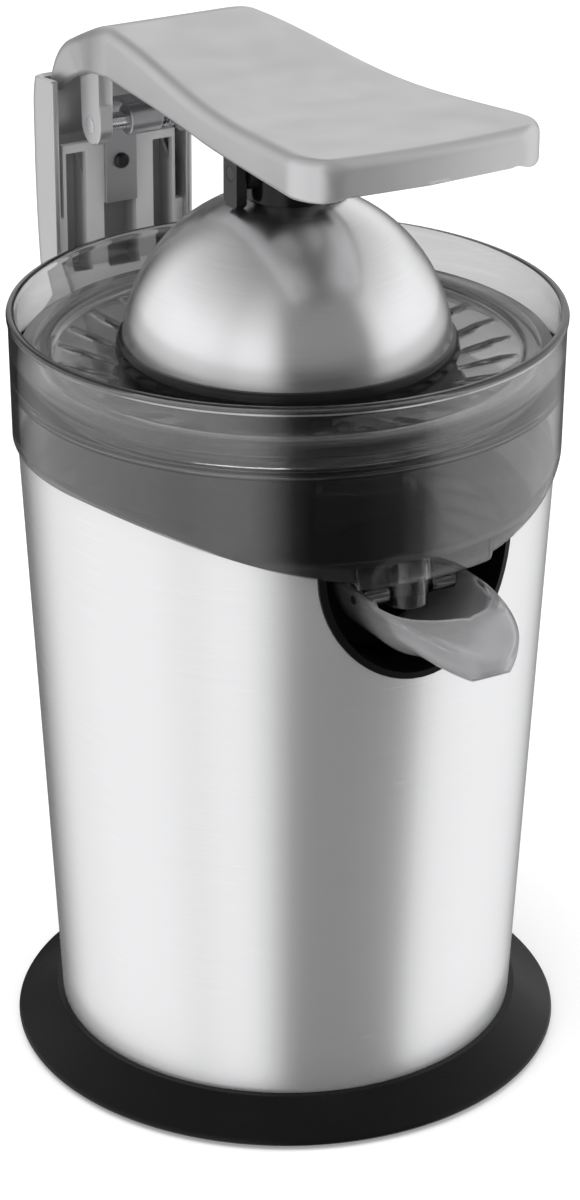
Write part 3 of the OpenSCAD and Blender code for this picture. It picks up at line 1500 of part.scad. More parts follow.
pocket_depth = 9.5;
pocket_share = 0.6;
pocket_rise = 14;
pocket_rim = 1.2;
pocket_drop = 3;
plate_proud = 2.5;
shoulder_drop = 8;
tongue_play = 0.2;
module column_frame() {
    pocket_back = column_front + pocket_depth;
    pocket_in = frame_half_w * pocket_share;
    low_z = foot_top + pocket_rise;
    color([0.6, 0.6, 0.61]) difference() {
        intersection() {
            union() {
                slab(-frame_half_w, frame_half_w) frame_region();
                intersection() {
                    slab(column_t + seat - column_half_w, column_half_w - column_t - seat) frame_region();
                    translate([-wide, 0, 0]) cube([2 * wide, wide, hinge_z - elbow_r - shoulder_drop]);
                }
            }
            translate([-wide, 0, 0]) cube([2 * wide, wide, frame_top_z]);
        }
        difference() {
            rod_x(elbow_r + edge_gap * 2, -wide, wide, hinge_y, hinge_z);
            translate([-wide, 0, 0]) cube([2 * wide, column_front + plate_proud, wide * 2]);
        }
        for (s = [-1, 1]) mirror([s < 0 ? 1 : 0, 0, 0])
            translate([pocket_in, column_front - over, low_z])
                cube([frame_half_w - pocket_rim - pocket_in, pocket_back - column_front + over,
                    frame_top_z - pocket_drop - low_z]);
        translate([-tongue_half_w - tongue_play, column_front - over, low_z])
            cube([2 * (tongue_half_w + tongue_play), pocket_back - column_front + over,
                tongue_low - low_z]);
        rod_y(screw_r + screw_gap, hinge_y, pocket_back, 0, tongue_screw_z);
        taper(-seat, base_h, sleeve_top_z + over);
        ring(0, rim_r + bead + edge_gap, sleeve_top_z - over, rim_z + over);
        column_screw_holes(screw_r + screw_gap);
    }
}

module frame_region() {
    polygon(concat(bow(column_t + seat),
        [[bow_y - foot_in, column_foot_z + column_t], [bow_y - foot_in, foot_top - over],
         [rim_r + foot_proud, foot_top - over],
         [column_front, foot_top + foot_slope - foot_out], [column_front, hinge_z],
         [hinge_y + column_rear_r - column_t - seat, hinge_z]]));
}

column_head_h = 1.4;
column_screw_more = 3;
module column_screws() {
    color("silver") for (s = [-1, 1], z = column_screw_zs)
        translate([s * column_screw_x, sleeve_r(z) - sleeve_t - housing_gap - housing_t - column_head_h, z])
            rotate([-90, 0, 0]) screw(screw_bite + column_screw_more);
}

base_skirt();
base_plate();
rubber_feet();
base_screws();
inlet_grommet();
body_sleeve();
inner_housing();
spout_recess();
top_deck();
deck_screws();
motor_stator();
stator_coils();
motor_lower_cap();
motor_upper_cap();
motor_screws();
motor_rotor();
motor_shaft();
commutator();
carbon_brushes();
motor_bearings();
cooling_fan();
motor_pinion();
gear_case();
gear_case_cover();
case_screws();
second_gear();
second_gear_pin();
output_gear();
drive_shaft();
shaft_bush();
shaft_seal();
return_spring();
press_plunger();
micro_switch();
switch_lever();
juice_collector();
strainer();
spout();
spout_pins();
reamer_cone();
dome_shell();
dome_liner();
dome_hub();
dome_screw();
arm_yoke();
yoke_screws();
dome_pin();
arm_top_shell();
arm_bottom_cover();
arm_screws();
hinge_drum();
hinge_pin();
torsion_spring();
hinge_tongue();
tongue_screw();
column_shell();
column_frame();
column_screws();
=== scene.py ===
# %% [markdown]
# # An electric citrus juicer, finished for a studio picture
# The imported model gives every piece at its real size. This file keeps those pieces where they are,
# gives each one its finish, and works out finer surfaces for the pieces that are seen most: the base,
# the steel sleeve, the see-through juice collector, the strainer, the dome, the ribbed cone, the press
# arm, the column with its hinge, and the spout. Lengths are in millimetres, and one factor turns them
# into metres.

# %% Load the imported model
import json
import math

import bmesh
import bpy
import numpy as np
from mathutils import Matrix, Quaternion, Vector


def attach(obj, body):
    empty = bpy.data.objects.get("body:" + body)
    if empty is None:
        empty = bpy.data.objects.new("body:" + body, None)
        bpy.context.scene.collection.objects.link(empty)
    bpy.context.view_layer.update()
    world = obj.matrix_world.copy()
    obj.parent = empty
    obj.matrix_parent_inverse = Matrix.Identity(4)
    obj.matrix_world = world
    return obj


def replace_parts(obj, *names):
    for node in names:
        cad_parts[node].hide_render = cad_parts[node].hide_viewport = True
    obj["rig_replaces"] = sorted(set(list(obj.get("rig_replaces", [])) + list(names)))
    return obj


MM = 0.001
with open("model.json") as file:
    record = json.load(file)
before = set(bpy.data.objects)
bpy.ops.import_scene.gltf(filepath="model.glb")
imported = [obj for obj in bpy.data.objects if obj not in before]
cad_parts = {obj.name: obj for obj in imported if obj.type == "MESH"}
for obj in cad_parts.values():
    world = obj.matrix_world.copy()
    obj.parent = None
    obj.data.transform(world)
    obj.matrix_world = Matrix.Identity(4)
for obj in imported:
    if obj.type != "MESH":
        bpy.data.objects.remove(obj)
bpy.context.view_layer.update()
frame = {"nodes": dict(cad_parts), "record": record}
body_of_node = {n: b for b, nodes in frame["record"]["behaviour"]["bodies"].items() for n in nodes}
slot_of_node = {s["node"]: s["material_slot"] for s in frame["record"]["subparts"]}

# %% [markdown]
# ## Nodes in one line each
# Shading in Blender is a graph of small nodes. A few helpers keep such a graph readable: one gives a
# socket its value or its source, one adds a node with all that it needs, and the others make the nodes
# and the materials that come up again and again.

# %% Node helpers
def feed(tree, value, socket):
    """Give a socket a number or a colour, or join it to another socket. A grey is one number."""
    if isinstance(value, bpy.types.NodeSocket):
        tree.links.new(value, socket)
    elif socket.type == "RGBA":
        socket.default_value = (*np.broadcast_to(value, 3), 1)
    else:
        socket.default_value = value


def add_node(tree, kind, inputs=None, **settings):
    """Add a node with its settings, then its inputs by name or number, and give its outputs."""
    node = tree.nodes.new("ShaderNode" + kind)
    for name, value in settings.items():
        setattr(node, name, value)
    for key, value in (inputs or {}).items():
        feed(tree, value, node.inputs[key])
    return node.outputs


def map_range(tree, source, low, high, at_low=0.0, at_high=1.0, clamp=True):
    """Map a value from low..high to at_low..at_high, and hold it outside if clamp is set."""
    values = {"Value": source, "From Min": low, "From Max": high, "To Min": at_low, "To Max": at_high}
    return add_node(tree, "MapRange", values, clamp=clamp)["Result"]


def mix(tree, factor, first, second, blend="MIX"):
    """Mix two colours; each is a grey level, a colour or a socket."""
    values = {"Factor": factor, "A": first, "B": second}
    return add_node(tree, "Mix", values, data_type="RGBA", blend_type=blend)["Result"]


def to_shader(material, socket, value):
    """Give a value or a source to a socket of the material's Principled shader."""
    tree = material.node_tree
    feed(tree, value, tree.nodes["Principled BSDF"].inputs[socket])


def principled(name, colour, roughness, **more):
    """A Principled material: colour, roughness, and any other socket by its name."""
    material = bpy.data.materials.new(name)
    material.use_nodes = True
    for socket, value in {"Base_Color": colour, "Roughness": roughness, **more}.items():
        to_shader(material, socket.replace("_", " "), value)
    return material


def new_object(name, data):
    """An object in the scene."""
    thing = bpy.data.objects.new(name, data)
    bpy.context.scene.collection.objects.link(thing)
    return thing


# %% [markdown]
# ## The camera
# The picture was taken from above and from the left of the spout, with a long lens, so the upright
# sides narrow only a little towards the foot. A camera is easiest to set by the point where it stands
# and the point that it looks at. The focal length then sets how much of the picture the juicer fills.

# %% Camera at the photograph's viewpoint
CAMERA_PLACE = Vector((-555.8, -962.7, 675.9)) * MM
CAMERA_AIM = Vector((0, 0, 159.6)) * MM
CAMERA_ROLL = math.radians(0.187)
CAMERA_LENS = 107.84
CAMERA_SHIFT = 0.00275

camera_data = bpy.data.cameras.new("camera")
camera_data.lens = CAMERA_LENS
camera_data.sensor_width = 36
camera_data.shift_x = CAMERA_SHIFT
camera_data.clip_start = 0.05
camera_data.clip_end = 100
camera = new_object("camera", camera_data)
camera.location = CAMERA_PLACE
camera.rotation_mode = "QUATERNION"
aim = (CAMERA_AIM - CAMERA_PLACE).to_track_quat("-Z", "Y")
camera.rotation_quaternion = aim @ Quaternion((0, 0, 1), CAMERA_ROLL)
bpy.context.scene.camera = camera
bpy.context.scene.view_settings.view_transform = "Standard"
print("camera distance:", round((CAMERA_PLACE - CAMERA_AIM).length, 3), "m")

# %% [markdown]
# ## The studio
# A product like this is photographed on a white sweep in a light tent. Polished and brushed steel has
# no look of its own: it shows the tent. Most of the tent is white, the side where the camera stands
# is dim, and a black panel stands to its right. So the world gives plain light to matt surfaces, and to
# mirror rays it gives those panels, as a ramp round the compass. The ramp is fixed in the room, so it
# stays where it is when the camera moves. The white floor is left out of what mirrors see: an upright
# wall seen from above mirrors what lies low, and the tent's walls reach down to the table. The black
# panels are low, so above them a mirror ray meets the pale tent, and higher still its dim roof.

# %% Tent walls as mirrors see them
CAMERA_TURN = -30
# Each pair is an angle from the camera's side of the room, to the picture's right, and a brightness.
TENT_PANELS = [(-179, 0.03), (-150, 0.08), (-137, 0.45), (-122, 0.88), (-90, 1.0), (-60, 0.98),
               (-43, 0.86), (-30, 0.97), (-16, 0.94), (-8, 0.66), (-2, 0.36), (3, 0.13), (10, 0.05),
               (30, 0.05), (48, 0.1), (58, 0.25), (66, 0.7), (76, 0.94), (100, 1.0), (130, 0.95),
               (146, 0.7), (160, 0.2)]
PLAIN_LIGHT = 0.66

world = bpy.data.worlds.new("light_tent")
bpy.context.scene.world = world
world.use_nodes = True
tree = world.node_tree


def tent_math(operation, *values):
    """One Math node of the world, whose inputs are numbers or sockets."""
    return add_node(world.node_tree, "Math", dict(enumerate(values)), operation=operation)[0]


axes = add_node(tree, "SeparateXYZ", {0: add_node(tree, "TexCoord")["Generated"]})
compass = tent_math("ARCTAN2", axes["X"], tent_math("MULTIPLY", axes["Y"], -1.0))
ramp = tree.nodes.new("ShaderNodeValToRGB")
feed(tree, tent_math("MULTIPLY_ADD", compass, 0.5 / math.pi, 0.5), ramp.inputs["Fac"])
places = sorted((((angle + CAMERA_TURN + 180) % 360) / 360, level) for angle, level in TENT_PANELS)
low_end = (places[0][1] + places[-1][1]) / 2
places = [(0.0, low_end)] + places + [(1.0, low_end)]
stops = ramp.color_ramp.elements
for place, level in places[1:-1]:
    stops.new(place)
for stop, (place, level) in zip(stops, places):
    stop.position = place
    stop.color = (level, level, level * 1.01, 1)
print("tent panels:", len(places))

# %% Tent above the black panels, and its roof
ABOVE_FRONT, ABOVE_BACK, ROOF_LEVEL = 0.26, 0.85, 0.24
BACKDROP_TURN = math.radians(CAMERA_TURN + 150)
# Heights are the upward part of a ray's direction: the panels end at the first pair, the roof starts
# at the second. The backdrop's width is given the same way, by how directly a ray points at it.
PANEL_TOP, ROOF_FADE, BACKDROP_EDGE = (-0.12, 0.18), (0.34, 1.0), (0.5, 0.75)
backness = tent_math("MULTIPLY_ADD", axes["X"], math.sin(BACKDROP_TURN),
                     tent_math("MULTIPLY", axes["Y"], -math.cos(BACKDROP_TURN)))
pale = map_range(tree, backness, *BACKDROP_EDGE, ABOVE_FRONT, ABOVE_BACK)
lifted = tent_math("MULTIPLY", pale, map_range(tree, axes["Z"], *PANEL_TOP))
walls = mix(tree, 1.0, ramp.outputs["Color"], lifted, "LIGHTEN")
tent = mix(tree, map_range(tree, axes["Z"], *ROOF_FADE), walls, ROOF_LEVEL)

# %% Plain light and white background
rays = add_node(tree, "LightPath")
through = rays["Is Transmission Ray"]
no_mirror_yet = tent_math("LESS_THAN", rays["Glossy Depth"], 0.5)
seen = tent_math("MAXIMUM", rays["Is Camera Ray"], tent_math("MULTIPLY", through, no_mirror_yet))
sharp = tent_math("MAXIMUM", rays["Is Glossy Ray"], through)
shown = mix(tree, seen, mix(tree, sharp, PLAIN_LIGHT, tent), 1.0)
feed(tree, shown, tree.nodes["Background"].inputs["Color"])
print("world nodes:", len(tree.nodes))

# %% Lamps
# Each lamp has a name, a power, an angle from the camera's side, a height and a softness in degrees.
LAMPS = [("key_lamp", 1.3, -40, 74, 40), ("fill_lamp", 0.5, 80, 50, 60)]
for name, power, azimuth, height, softness in LAMPS:
    lamp = bpy.data.lights.new(name, "SUN")
    lamp.energy = power
    lamp.angle = math.radians(softness)
    lamp_object = new_object(name, lamp)
    side, up = math.radians(azimuth + CAMERA_TURN), math.radians(height)
    towards = Vector((math.sin(side) * math.cos(up), -math.cos(side) * math.cos(up), math.sin(up)))
    lamp_object.rotation_euler = towards.to_track_quat("Z", "Y").to_euler()
    lamp_object.visible_glossy = False
print("lamps:", len(LAMPS))

# %% [markdown]
# ## The floor
# The floor is one wide, matt white sheet. It takes the juicer's soft shadow, and a little light of
# its own, seen only by the camera, brings the rest up to white. Mirrors and clear plastic do not see
# the floor: for them the tent's walls reach down to the table.

# %% White floor
FLOOR_REACH, FLOOR_GREY, FLOOR_LIFT = 40, 0.88, 0.22
floor_mesh = bpy.data.meshes.new("floor")
corners = [(sx * FLOOR_REACH, sy * FLOOR_REACH, 0) for sx, sy in ((-1, -1), (1, -1), (1, 1), (-1, 1))]
floor_mesh.from_pydata(corners, [], [(0, 1, 2, 3)])
floor = new_object("floor", floor_mesh)
floor_paint = principled("white_floor", FLOOR_GREY, 0.85, Emission_Color=1.0)
tree = floor_paint.node_tree
lift = {0: add_node(tree, "LightPath")["Is Camera Ray"], 1: FLOOR_LIFT}
to_shader(floor_paint, "Emission Strength", add_node(tree, "Math", lift, operation="MULTIPLY")[0])
floor_mesh.materials.append(floor_paint)
floor.visible_glossy = False
floor.visible_transmission = False
print("floor reach:", FLOOR_REACH, "m")

# %% [markdown]
# ## Finishes
# Every finish is one Principled shader. Numbers that are the same all over a piece go straight onto
# the shader's sockets. Only what varies, such as brushing or moulded grain, comes from nodes, and
# these read Object coordinates, which are the juicer's own metres.

# %% Shader helpers
finishes = {}


def finish(slot, *values, **more):
    """The material of one slot."""
    finishes[slot] = principled(slot, *values, **more)
    return finishes[slot]


def stretched_noise(material, size, detail=2.0, spread=0.5):
    """Noise whose grain is size millimetres, or (x, y, z) of them, read from Object coordinates."""
    tree = material.node_tree
    scale = tuple(1 / (MM * s) for s in np.broadcast_to(size, 3))
    grid = {"Vector": add_node(tree, "TexCoord")["Object"], "Scale": scale}
    values = {"Vector": add_node(tree, "Mapping", grid)["Vector"], "Scale": 1.0, "Detail": detail,
              "Roughness": spread}
    return add_node(tree, "TexNoise", values)["Fac"]


def vary(material, socket, source, low, high):
    """Let a noise value of 0.3 to 0.7 move a shader socket from low to high, and a little past them."""
    to_shader(material, socket, map_range(material.node_tree, source, 0.3, 0.7, low, high, clamp=False))


def tint(material, source, dark, light):
    """Let a noise value mix two colours into the base colour."""
    to_shader(material, "Base Color", mix(material.node_tree, source, dark, light))


def relief(material, source, height):
    """Raise the surface by a noise value, height in millimetres."""
    values = {"Height": source, "Strength": 1.0, "Distance": height * MM}
    to_shader(material, "Normal", add_node(material.node_tree, "Bump", values)["Normal"])


# %% [markdown]
# ## Brushed steel
# The sleeve was brushed round and round, so it carries fine level scratches. They spread a reflection
# up and down but hardly sideways, which is why it shows crisp upright bands. An anisotropic shader
# does this: its tangent runs round the Z axis, and a quarter turn makes the rough way the upright one.
# Noise that is stretched level gives the scratches themselves, with a faint tint and roughness change.
# The finest scratches scatter light all ways, so the sleeve has a share of matt grey as well.

# %% Brushed steel of the sleeve and the dome
def brushed(slot, colour, roughness, anisotropy, scratch, metallic):
    """Steel with level scratches that are scratch millimetres high and long round the axis."""
    steel = finish(slot, colour, roughness, Metallic=metallic, Anisotropic=anisotropy,
                   Anisotropic_Rotation=0.25)
    tangent = add_node(steel.node_tree, "Tangent", direction_type="RADIAL", axis="Z")
    to_shader(steel, "Tangent", tangent["Tangent"])
    lines = stretched_noise(steel, (38, 38, scratch), detail=4.0, spread=0.65)
    vary(steel, "Roughness", lines, roughness - 0.03, roughness + 0.03)
    tint(steel, lines, [c * 0.93 for c in colour], [min(1, c * 1.05) for c in colour])
    relief(steel, lines, 0.001)


brushed("brushed_sleeve", (0.88, 0.88, 0.885), 0.24, 0.7, 0.22, 0.74)
brushed("dome_steel", (0.88, 0.88, 0.885), 0.24, 0.5, 0.25, 1.0)
print("steel finishes:", sorted(finishes))

# %% [markdown]
# ## Plastics and paint
# The collector and the strainer are smoky see-through plastic: their surface is clear, and the smoke is
# inside, so that light fades with each millimetre, and a rim seen along its wall is almost black. The
# spout is clear with a faint frost. The strainer holds a little milk in its smoke, so it stays lighter
# than the bowl below it.
# The base, the dome's ring and the yoke are black, and the press arm is painted silver grey. Moulded
# parts carry a very fine grain, which is a low relief of noise.

# %% See-through plastics
SMOKE_DENSITY = 150
smoky = finish("smoky_clear", 1.0, 0.04, Transmission_Weight=1.0, IOR=1.85)
vary(smoky, "Roughness", stretched_noise(smoky, 30), 0.02, 0.05)
smoke = add_node(smoky.node_tree, "VolumeAbsorption", {"Color": 0.0, "Density": SMOKE_DENSITY})
feed(smoky.node_tree, smoke["Volume"], smoky.node_tree.nodes["Material Output"].inputs["Volume"])
milky = finish("smoky_strainer", (0.5, 0.5, 0.505), 0.05, Transmission_Weight=0.86, IOR=1.7)
vary(milky, "Roughness", stretched_noise(milky, 30), 0.03, 0.07)
frosted = finish("frosted_clear", (0.66, 0.66, 0.67), 0.2, Transmission_Weight=0.75, IOR=1.5)
vary(frosted, "Roughness", stretched_noise(frosted, 8), 0.1, 0.22)

# %% Opaque plastics and paint
def moulded(slot, colour, roughness, grain=0.35, height=0.006, **more):
    """Moulded plastic: a fine grain in relief, and a slow change of gloss over the piece."""
    plastic = finish(slot, colour, roughness, **more)
    relief(plastic, stretched_noise(plastic, grain), height)
    gloss = stretched_noise(plastic, 18, detail=1.0)
    vary(plastic, "Roughness", gloss, roughness - 0.04, roughness + 0.05)
    return plastic


FRAME_GREY = (0.8, 0.8, 0.805)
moulded("black_satin", (0.004, 0.004, 0.0045), 0.26, Specular_IOR_Level=0.2)
moulded("rubber", (0.022, 0.022, 0.023), 0.75, grain=0.5, height=0.02)
moulded("dark_plastic", (0.004, 0.004, 0.0045), 0.42, Specular_IOR_Level=0.12)
moulded("black_gloss", (0.006, 0.006, 0.0065), 0.16, height=0.001, Specular_IOR_Level=0.3)
grey = moulded("grey_plastic", FRAME_GREY, 0.48)
moulded("black_screw", 0.01, 0.35)
moulded("dull_pin", (0.06, 0.06, 0.062), 0.4, Metallic=0.6)
moulded("white_plastic", (0.72, 0.71, 0.67), 0.4)
moulded("motor_caps", (0.20, 0.20, 0.21), 0.5)
moulded("switch_plastic", (0.04, 0.04, 0.045), 0.45)
silver = moulded("silver_paint", (0.62, 0.62, 0.625), 0.35, grain=1.4, height=0.0001, Metallic=0.75)
tint(silver, stretched_noise(silver, 60, detail=0.0), (0.612, 0.612, 0.617), (0.632, 0.632, 0.637))

# %% Shade inside the frame's pockets
POCKET_SHADE = (0.42, 0.42, 0.425)
FRAME_FRONT_Y, POCKET_START, POCKET_FULL = 119.0, 1.0, 4.0
tree = grey.node_tree
frame_axes = add_node(tree, "SeparateXYZ", {0: add_node(tree, "TexCoord")["Object"]})
pocket = [(FRAME_FRONT_Y + way_in) * MM for way_in in (POCKET_START, POCKET_FULL)]
tint(grey, map_range(tree, frame_axes["Y"], *pocket), FRAME_GREY, POCKET_SHADE)


# %% Metals inside
def metal(slot, colour, roughness, grain=0.4, height=0.003):
    """Bare metal whose roughness follows a small grain."""
    bare = finish(slot, colour, roughness, Metallic=1.0)
    grains = stretched_noise(bare, grain)
    vary(bare, "Roughness", grains, roughness - 0.08, roughness + 0.1)
    relief(bare, grains, height)


metal("bright_steel", (0.72, 0.72, 0.73), 0.24)
metal("dark_steel", (0.5, 0.5, 0.51), 0.42)
metal("lamination", (0.30, 0.30, 0.32), 0.45, grain=(9, 9, 0.5), height=0.02)
metal("copper", (0.72, 0.33, 0.16), 0.3, grain=(6, 6, 0.5), height=0.03)
metal("pinion_steel", (0.55, 0.54, 0.52), 0.3)
metal("bronze", (0.55, 0.38, 0.2), 0.35)
moulded("carbon", 0.03, 0.7, grain=0.3, height=0.02)
print("finishes:", len(finishes))

# %% [markdown]
# ## Surfaces from numbers
# A surface is a grid of points: one parameter runs along it, the other round it. Neighbouring points
# make the four-sided faces. A profile that closes on itself, carried round the axis, gives a wall
# with a real thickness in one go, so no face is missing and light bends through it as it should.

# %% Grid helpers
made = []


def grid_faces(rows, columns, rows_close=False, columns_close=False):
    """Four-sided faces of a rows x columns grid of points; a closed direction joins end to start."""
    r = np.arange(rows if rows_close else rows - 1)
    c = np.arange(columns if columns_close else columns - 1)
    i, j = np.meshgrid(r, c, indexing="ij")
    i2, j2 = (i + 1) % rows, (j + 1) % columns
    corners = [i * columns + j, i * columns + j2, i2 * columns + j2, i2 * columns + j]
    return np.stack(corners, -1).reshape(-1, 4)


def sheet(points, rows_close=False, columns_close=False):
    """A grid of points with its faces."""
    return points, grid_faces(*points.shape[:2], rows_close, columns_close)


def around(radius, height, angle):
    """Points at a radius, height and angle from the front: x = r sin a, y = -r cos a."""
    radius, height, angle = np.broadcast_arrays(radius, height, angle)
    return np.stack([radius * np.sin(angle), -radius * np.cos(angle), height], -1)


def smooth_step(t):
    """0 below 0, 1 above 1, and a smooth S between."""
    t = np.clip(t, 0, 1)
    return t * t * (3 - 2 * t)


def lengths(points):
    """Distance along a line of points, from 0 at the first one."""
    return np.concatenate([[0], np.cumsum(np.hypot(*np.diff(points, axis=0).T))])


def side_normals(line):
    """Unit normals of a side-view line (y, z), on the side that is towards -y on the way down."""
    along = np.gradient(line, axis=0)
    along /= np.hypot(*along.T)[:, None]
    return np.stack([along[:, 1], -along[:, 0]], -1)


def side_swept(across, line, way, reach):
    """Rows of points at x = across, each reach away from a side-view line in the unit direction way."""
    y = line[:, 0, None] + way[:, 0, None] * reach
    z = line[:, 1, None] + way[:, 1, None] * reach
    return np.stack([np.broadcast_to(across, y.shape), y, z], -1)


def capped(rings, keep=0.0):
    """Rings with both ends closed by a shrunken ring; keep is the share of its size along each axis."""
    middle = rings[[0, -1]].mean(1, keepdims=True)
    ends = middle + (rings[[0, -1]] - middle) * keep
    return np.concatenate([ends[:1], rings, ends[1:]])


def make_piece(name, surfaces, replaced, smooth=35, wall=0.0, bevel=0.0, look=None, trim=None):
    """A mesh of surfaces (points in mm, faces). It stands for CAD nodes and rides with them."""
    points = np.concatenate([p.reshape(-1, 3) for p, f in surfaces]) * MM
    starts = np.cumsum([0] + [p.reshape(-1, 3).shape[0] for p, f in surfaces])
    faces = np.concatenate([f + s for (p, f), s in zip(surfaces, starts)])
    mesh = bpy.data.meshes.new(name)
    mesh.from_pydata(points, [], faces.tolist())
    shape = bmesh.new()
    shape.from_mesh(mesh)
    bmesh.ops.remove_doubles(shape, verts=shape.verts, dist=1e-6)
    bmesh.ops.dissolve_degenerate(shape, edges=shape.edges, dist=1e-7)
    if trim:
        trim(shape)
    bmesh.ops.recalc_face_normals(shape, faces=shape.faces)
    shape.to_mesh(mesh)
    shape.free()
    settle(new_object(name, mesh), replaced, smooth, wall, bevel, look, trim)


def settle(piece, replaced, smooth, wall=0.0, bevel=0.0, look=None, trim=None):
    """Shade smoothly below an angle, add a wall or small bevels, and fix the piece to its body.

    The finish is the node's slot's, or a look of its own.
    """
    if wall:
        solid = piece.modifiers.new("wall", "SOLIDIFY")
        solid.thickness = wall * MM
        solid.offset = -1
        solid.use_even_offset = not trim
    if bevel:
        edge = piece.modifiers.new("edges", "BEVEL")
        edge.width = bevel * MM
        edge.segments = 2
        edge.limit_method = "ANGLE"
        edge.angle_limit = math.radians(smooth)
        edge.harden_normals = True
    piece.data.shade_smooth()
    piece.data.set_sharp_from_angle(angle=math.radians(179 if bevel else smooth))
    piece.data.materials.clear()
    piece.data.materials.append(finishes[look or slot_of_node[replaced[0]]])
    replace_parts(piece, *replaced)
    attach(piece, body_of_node[replaced[0]])
    made.append(piece)
    print(piece.name, "faces:", len(piece.data.polygons))


def rounded(profile, radii, steps=5):
    """A closed profile whose corners are cut by arcs: each corner's arc touches both of its sides."""
    profile = np.array(profile, float)
    radii = np.broadcast_to(np.array(radii, float), len(profile))
    out = []
    for k, radius in enumerate(radii):
        before, here, after = profile[k - 1], profile[k], profile[(k + 1) % len(profile)]
        u, v = before - here, after - here
        lu, lv = np.hypot(*u), np.hypot(*v)
        u, v = u / lu, v / lv
        half = 0.5 * math.acos(np.clip(u @ v, -1, 1))
        reach = min(radius / math.tan(half) if half > 0.01 else 0, 0.45 * lu, 0.45 * lv)
        if reach < 1e-3 or half > 1.55:
            out.append(here[None])
            continue
        t = np.linspace(0, 1, steps + 1)[:, None]
        a, b = here + u * reach, here + v * reach
        out.append((1 - t) ** 2 * a + 2 * t * (1 - t) * here + t ** 2 * b)
    return np.concatenate(out)


def turned(profile, columns=192):
    """A closed (r, z) profile carried round the Z axis."""
    angle = np.linspace(0, 2 * math.pi, columns, endpoint=False)
    return sheet(around(profile[:, 0, None], profile[:, 1, None], angle), True, True)


FLAT_ENOUGH = math.radians(0.8)


def dressed(node, smooth=35, bevel=0.0, look=None):
    """A copy of a CAD node with its loose triangles joined, so that it can be shaded smoothly."""
    mesh = frame["nodes"][node].data.copy()
    mesh.name = node + "_finished"
    if "custom_normal" in mesh.attributes:
        mesh.attributes.remove(mesh.attributes["custom_normal"])
    shape = bmesh.new()
    shape.from_mesh(mesh)
    bmesh.ops.remove_doubles(shape, verts=shape.verts, dist=2e-6)
    if bevel:
        bmesh.ops.dissolve_limit(shape, angle_limit=FLAT_ENOUGH, verts=shape.verts, edges=shape.edges)
    shape.to_mesh(mesh)
    shape.free()
    settle(new_object(mesh.name, mesh), [node], smooth, bevel=bevel, look=look)


# %% [markdown]
# ## The black base
# The base is a low round plinth with a sloping shoulder, satin black, that stands a little proud of
# its rubber feet. It is a turned shape, so a profile carried round the axis is the natural way. Its
# corners are rounded, because a sharp corner never catches the light.

# %% Base skirt
BASE_PROFILE = [(76, 1.5), (94.9, 1.5), (95.4, 2.5), (94.9, 3.5), (88.2, 8.16), (81.6, 12.6),
                (78.2, 12.6), (78.2, 18.6), (76, 18.6)]
BASE_ROUNDING = [0.4, 0.8, 0.5, 1.6, 4, 1.0, 0.2, 0.4, 0.4]
make_piece("base_shoulder", [turned(rounded(BASE_PROFILE, BASE_ROUNDING), 240)], ["base_skirt"],
           smooth=50)
dressed("rubber_feet", bevel=0.6)

# %% [markdown]
# ## The steel sleeve
# The sleeve is a sheet of steel rolled into a slightly open cone. Its top edge is level at the back
# and dips in a wide curve at the front, and a U is cut out of it for the spout. Its columns of points
# are spaced evenly along that edge, so the U gets as many points as its length needs.

# %% Sleeve with its dipping edge
SLEEVE_FOOT_R, SLEEVE_TOP_R = 79.4, 89.8
SLEEVE_FOOT_Z, SLEEVE_TOP_Z = 12.6, 223.0
DIP_R, DIP_START = 140.0, 20.0
RECESS_HALF_W, RECESS_Z, RECESS_DROP = 36.0, 209.7, 42.0


def sleeve_r(z):
    """Radius of the steel cone at a height: it grows evenly from the foot to the top."""
    share = (z - SLEEVE_FOOT_Z) / (SLEEVE_TOP_Z - SLEEVE_FOOT_Z)
    return SLEEVE_FOOT_R + (SLEEVE_TOP_R - SLEEVE_FOOT_R) * share


def edge_z(angle, radius_of=sleeve_r):
    """Height of the sleeve's edge: a circle of radius 140 seen from the side, where y < -20."""
    z = np.full_like(angle, SLEEVE_TOP_Z)
    for _ in range(20):
        y = -radius_of(z) * np.cos(angle)
        run = np.minimum(0, y + DIP_START)
        z = SLEEVE_TOP_Z - DIP_R + np.sqrt(DIP_R ** 2 - run ** 2)
    return z


def cut_z(angle):
    """Height of the edge with the U-shaped cut, half an ellipse 36 wide and 42 deep, for the spout."""
    uncut = z = edge_z(angle)
    for _ in range(20):
        share = np.clip(np.abs(sleeve_r(z) * np.sin(angle)) / RECESS_HALF_W, 0, 1)
        inside = (share < 1) & (np.cos(angle) > 0)
        cut = RECESS_Z - RECESS_DROP * np.sqrt(1 - share ** 2)
        z = np.where(inside, np.minimum(uncut, cut), uncut)
    return z


def even_angles(height_of, count, radius=88.0):
    """Angles whose points are evenly spaced along an edge whose height changes round the axis."""
    angle = np.linspace(-math.pi, math.pi, 40001)
    length = lengths(np.stack([angle * radius, height_of(angle)], -1))
    return np.interp(np.linspace(0, length[-1], count, endpoint=False), length, angle)


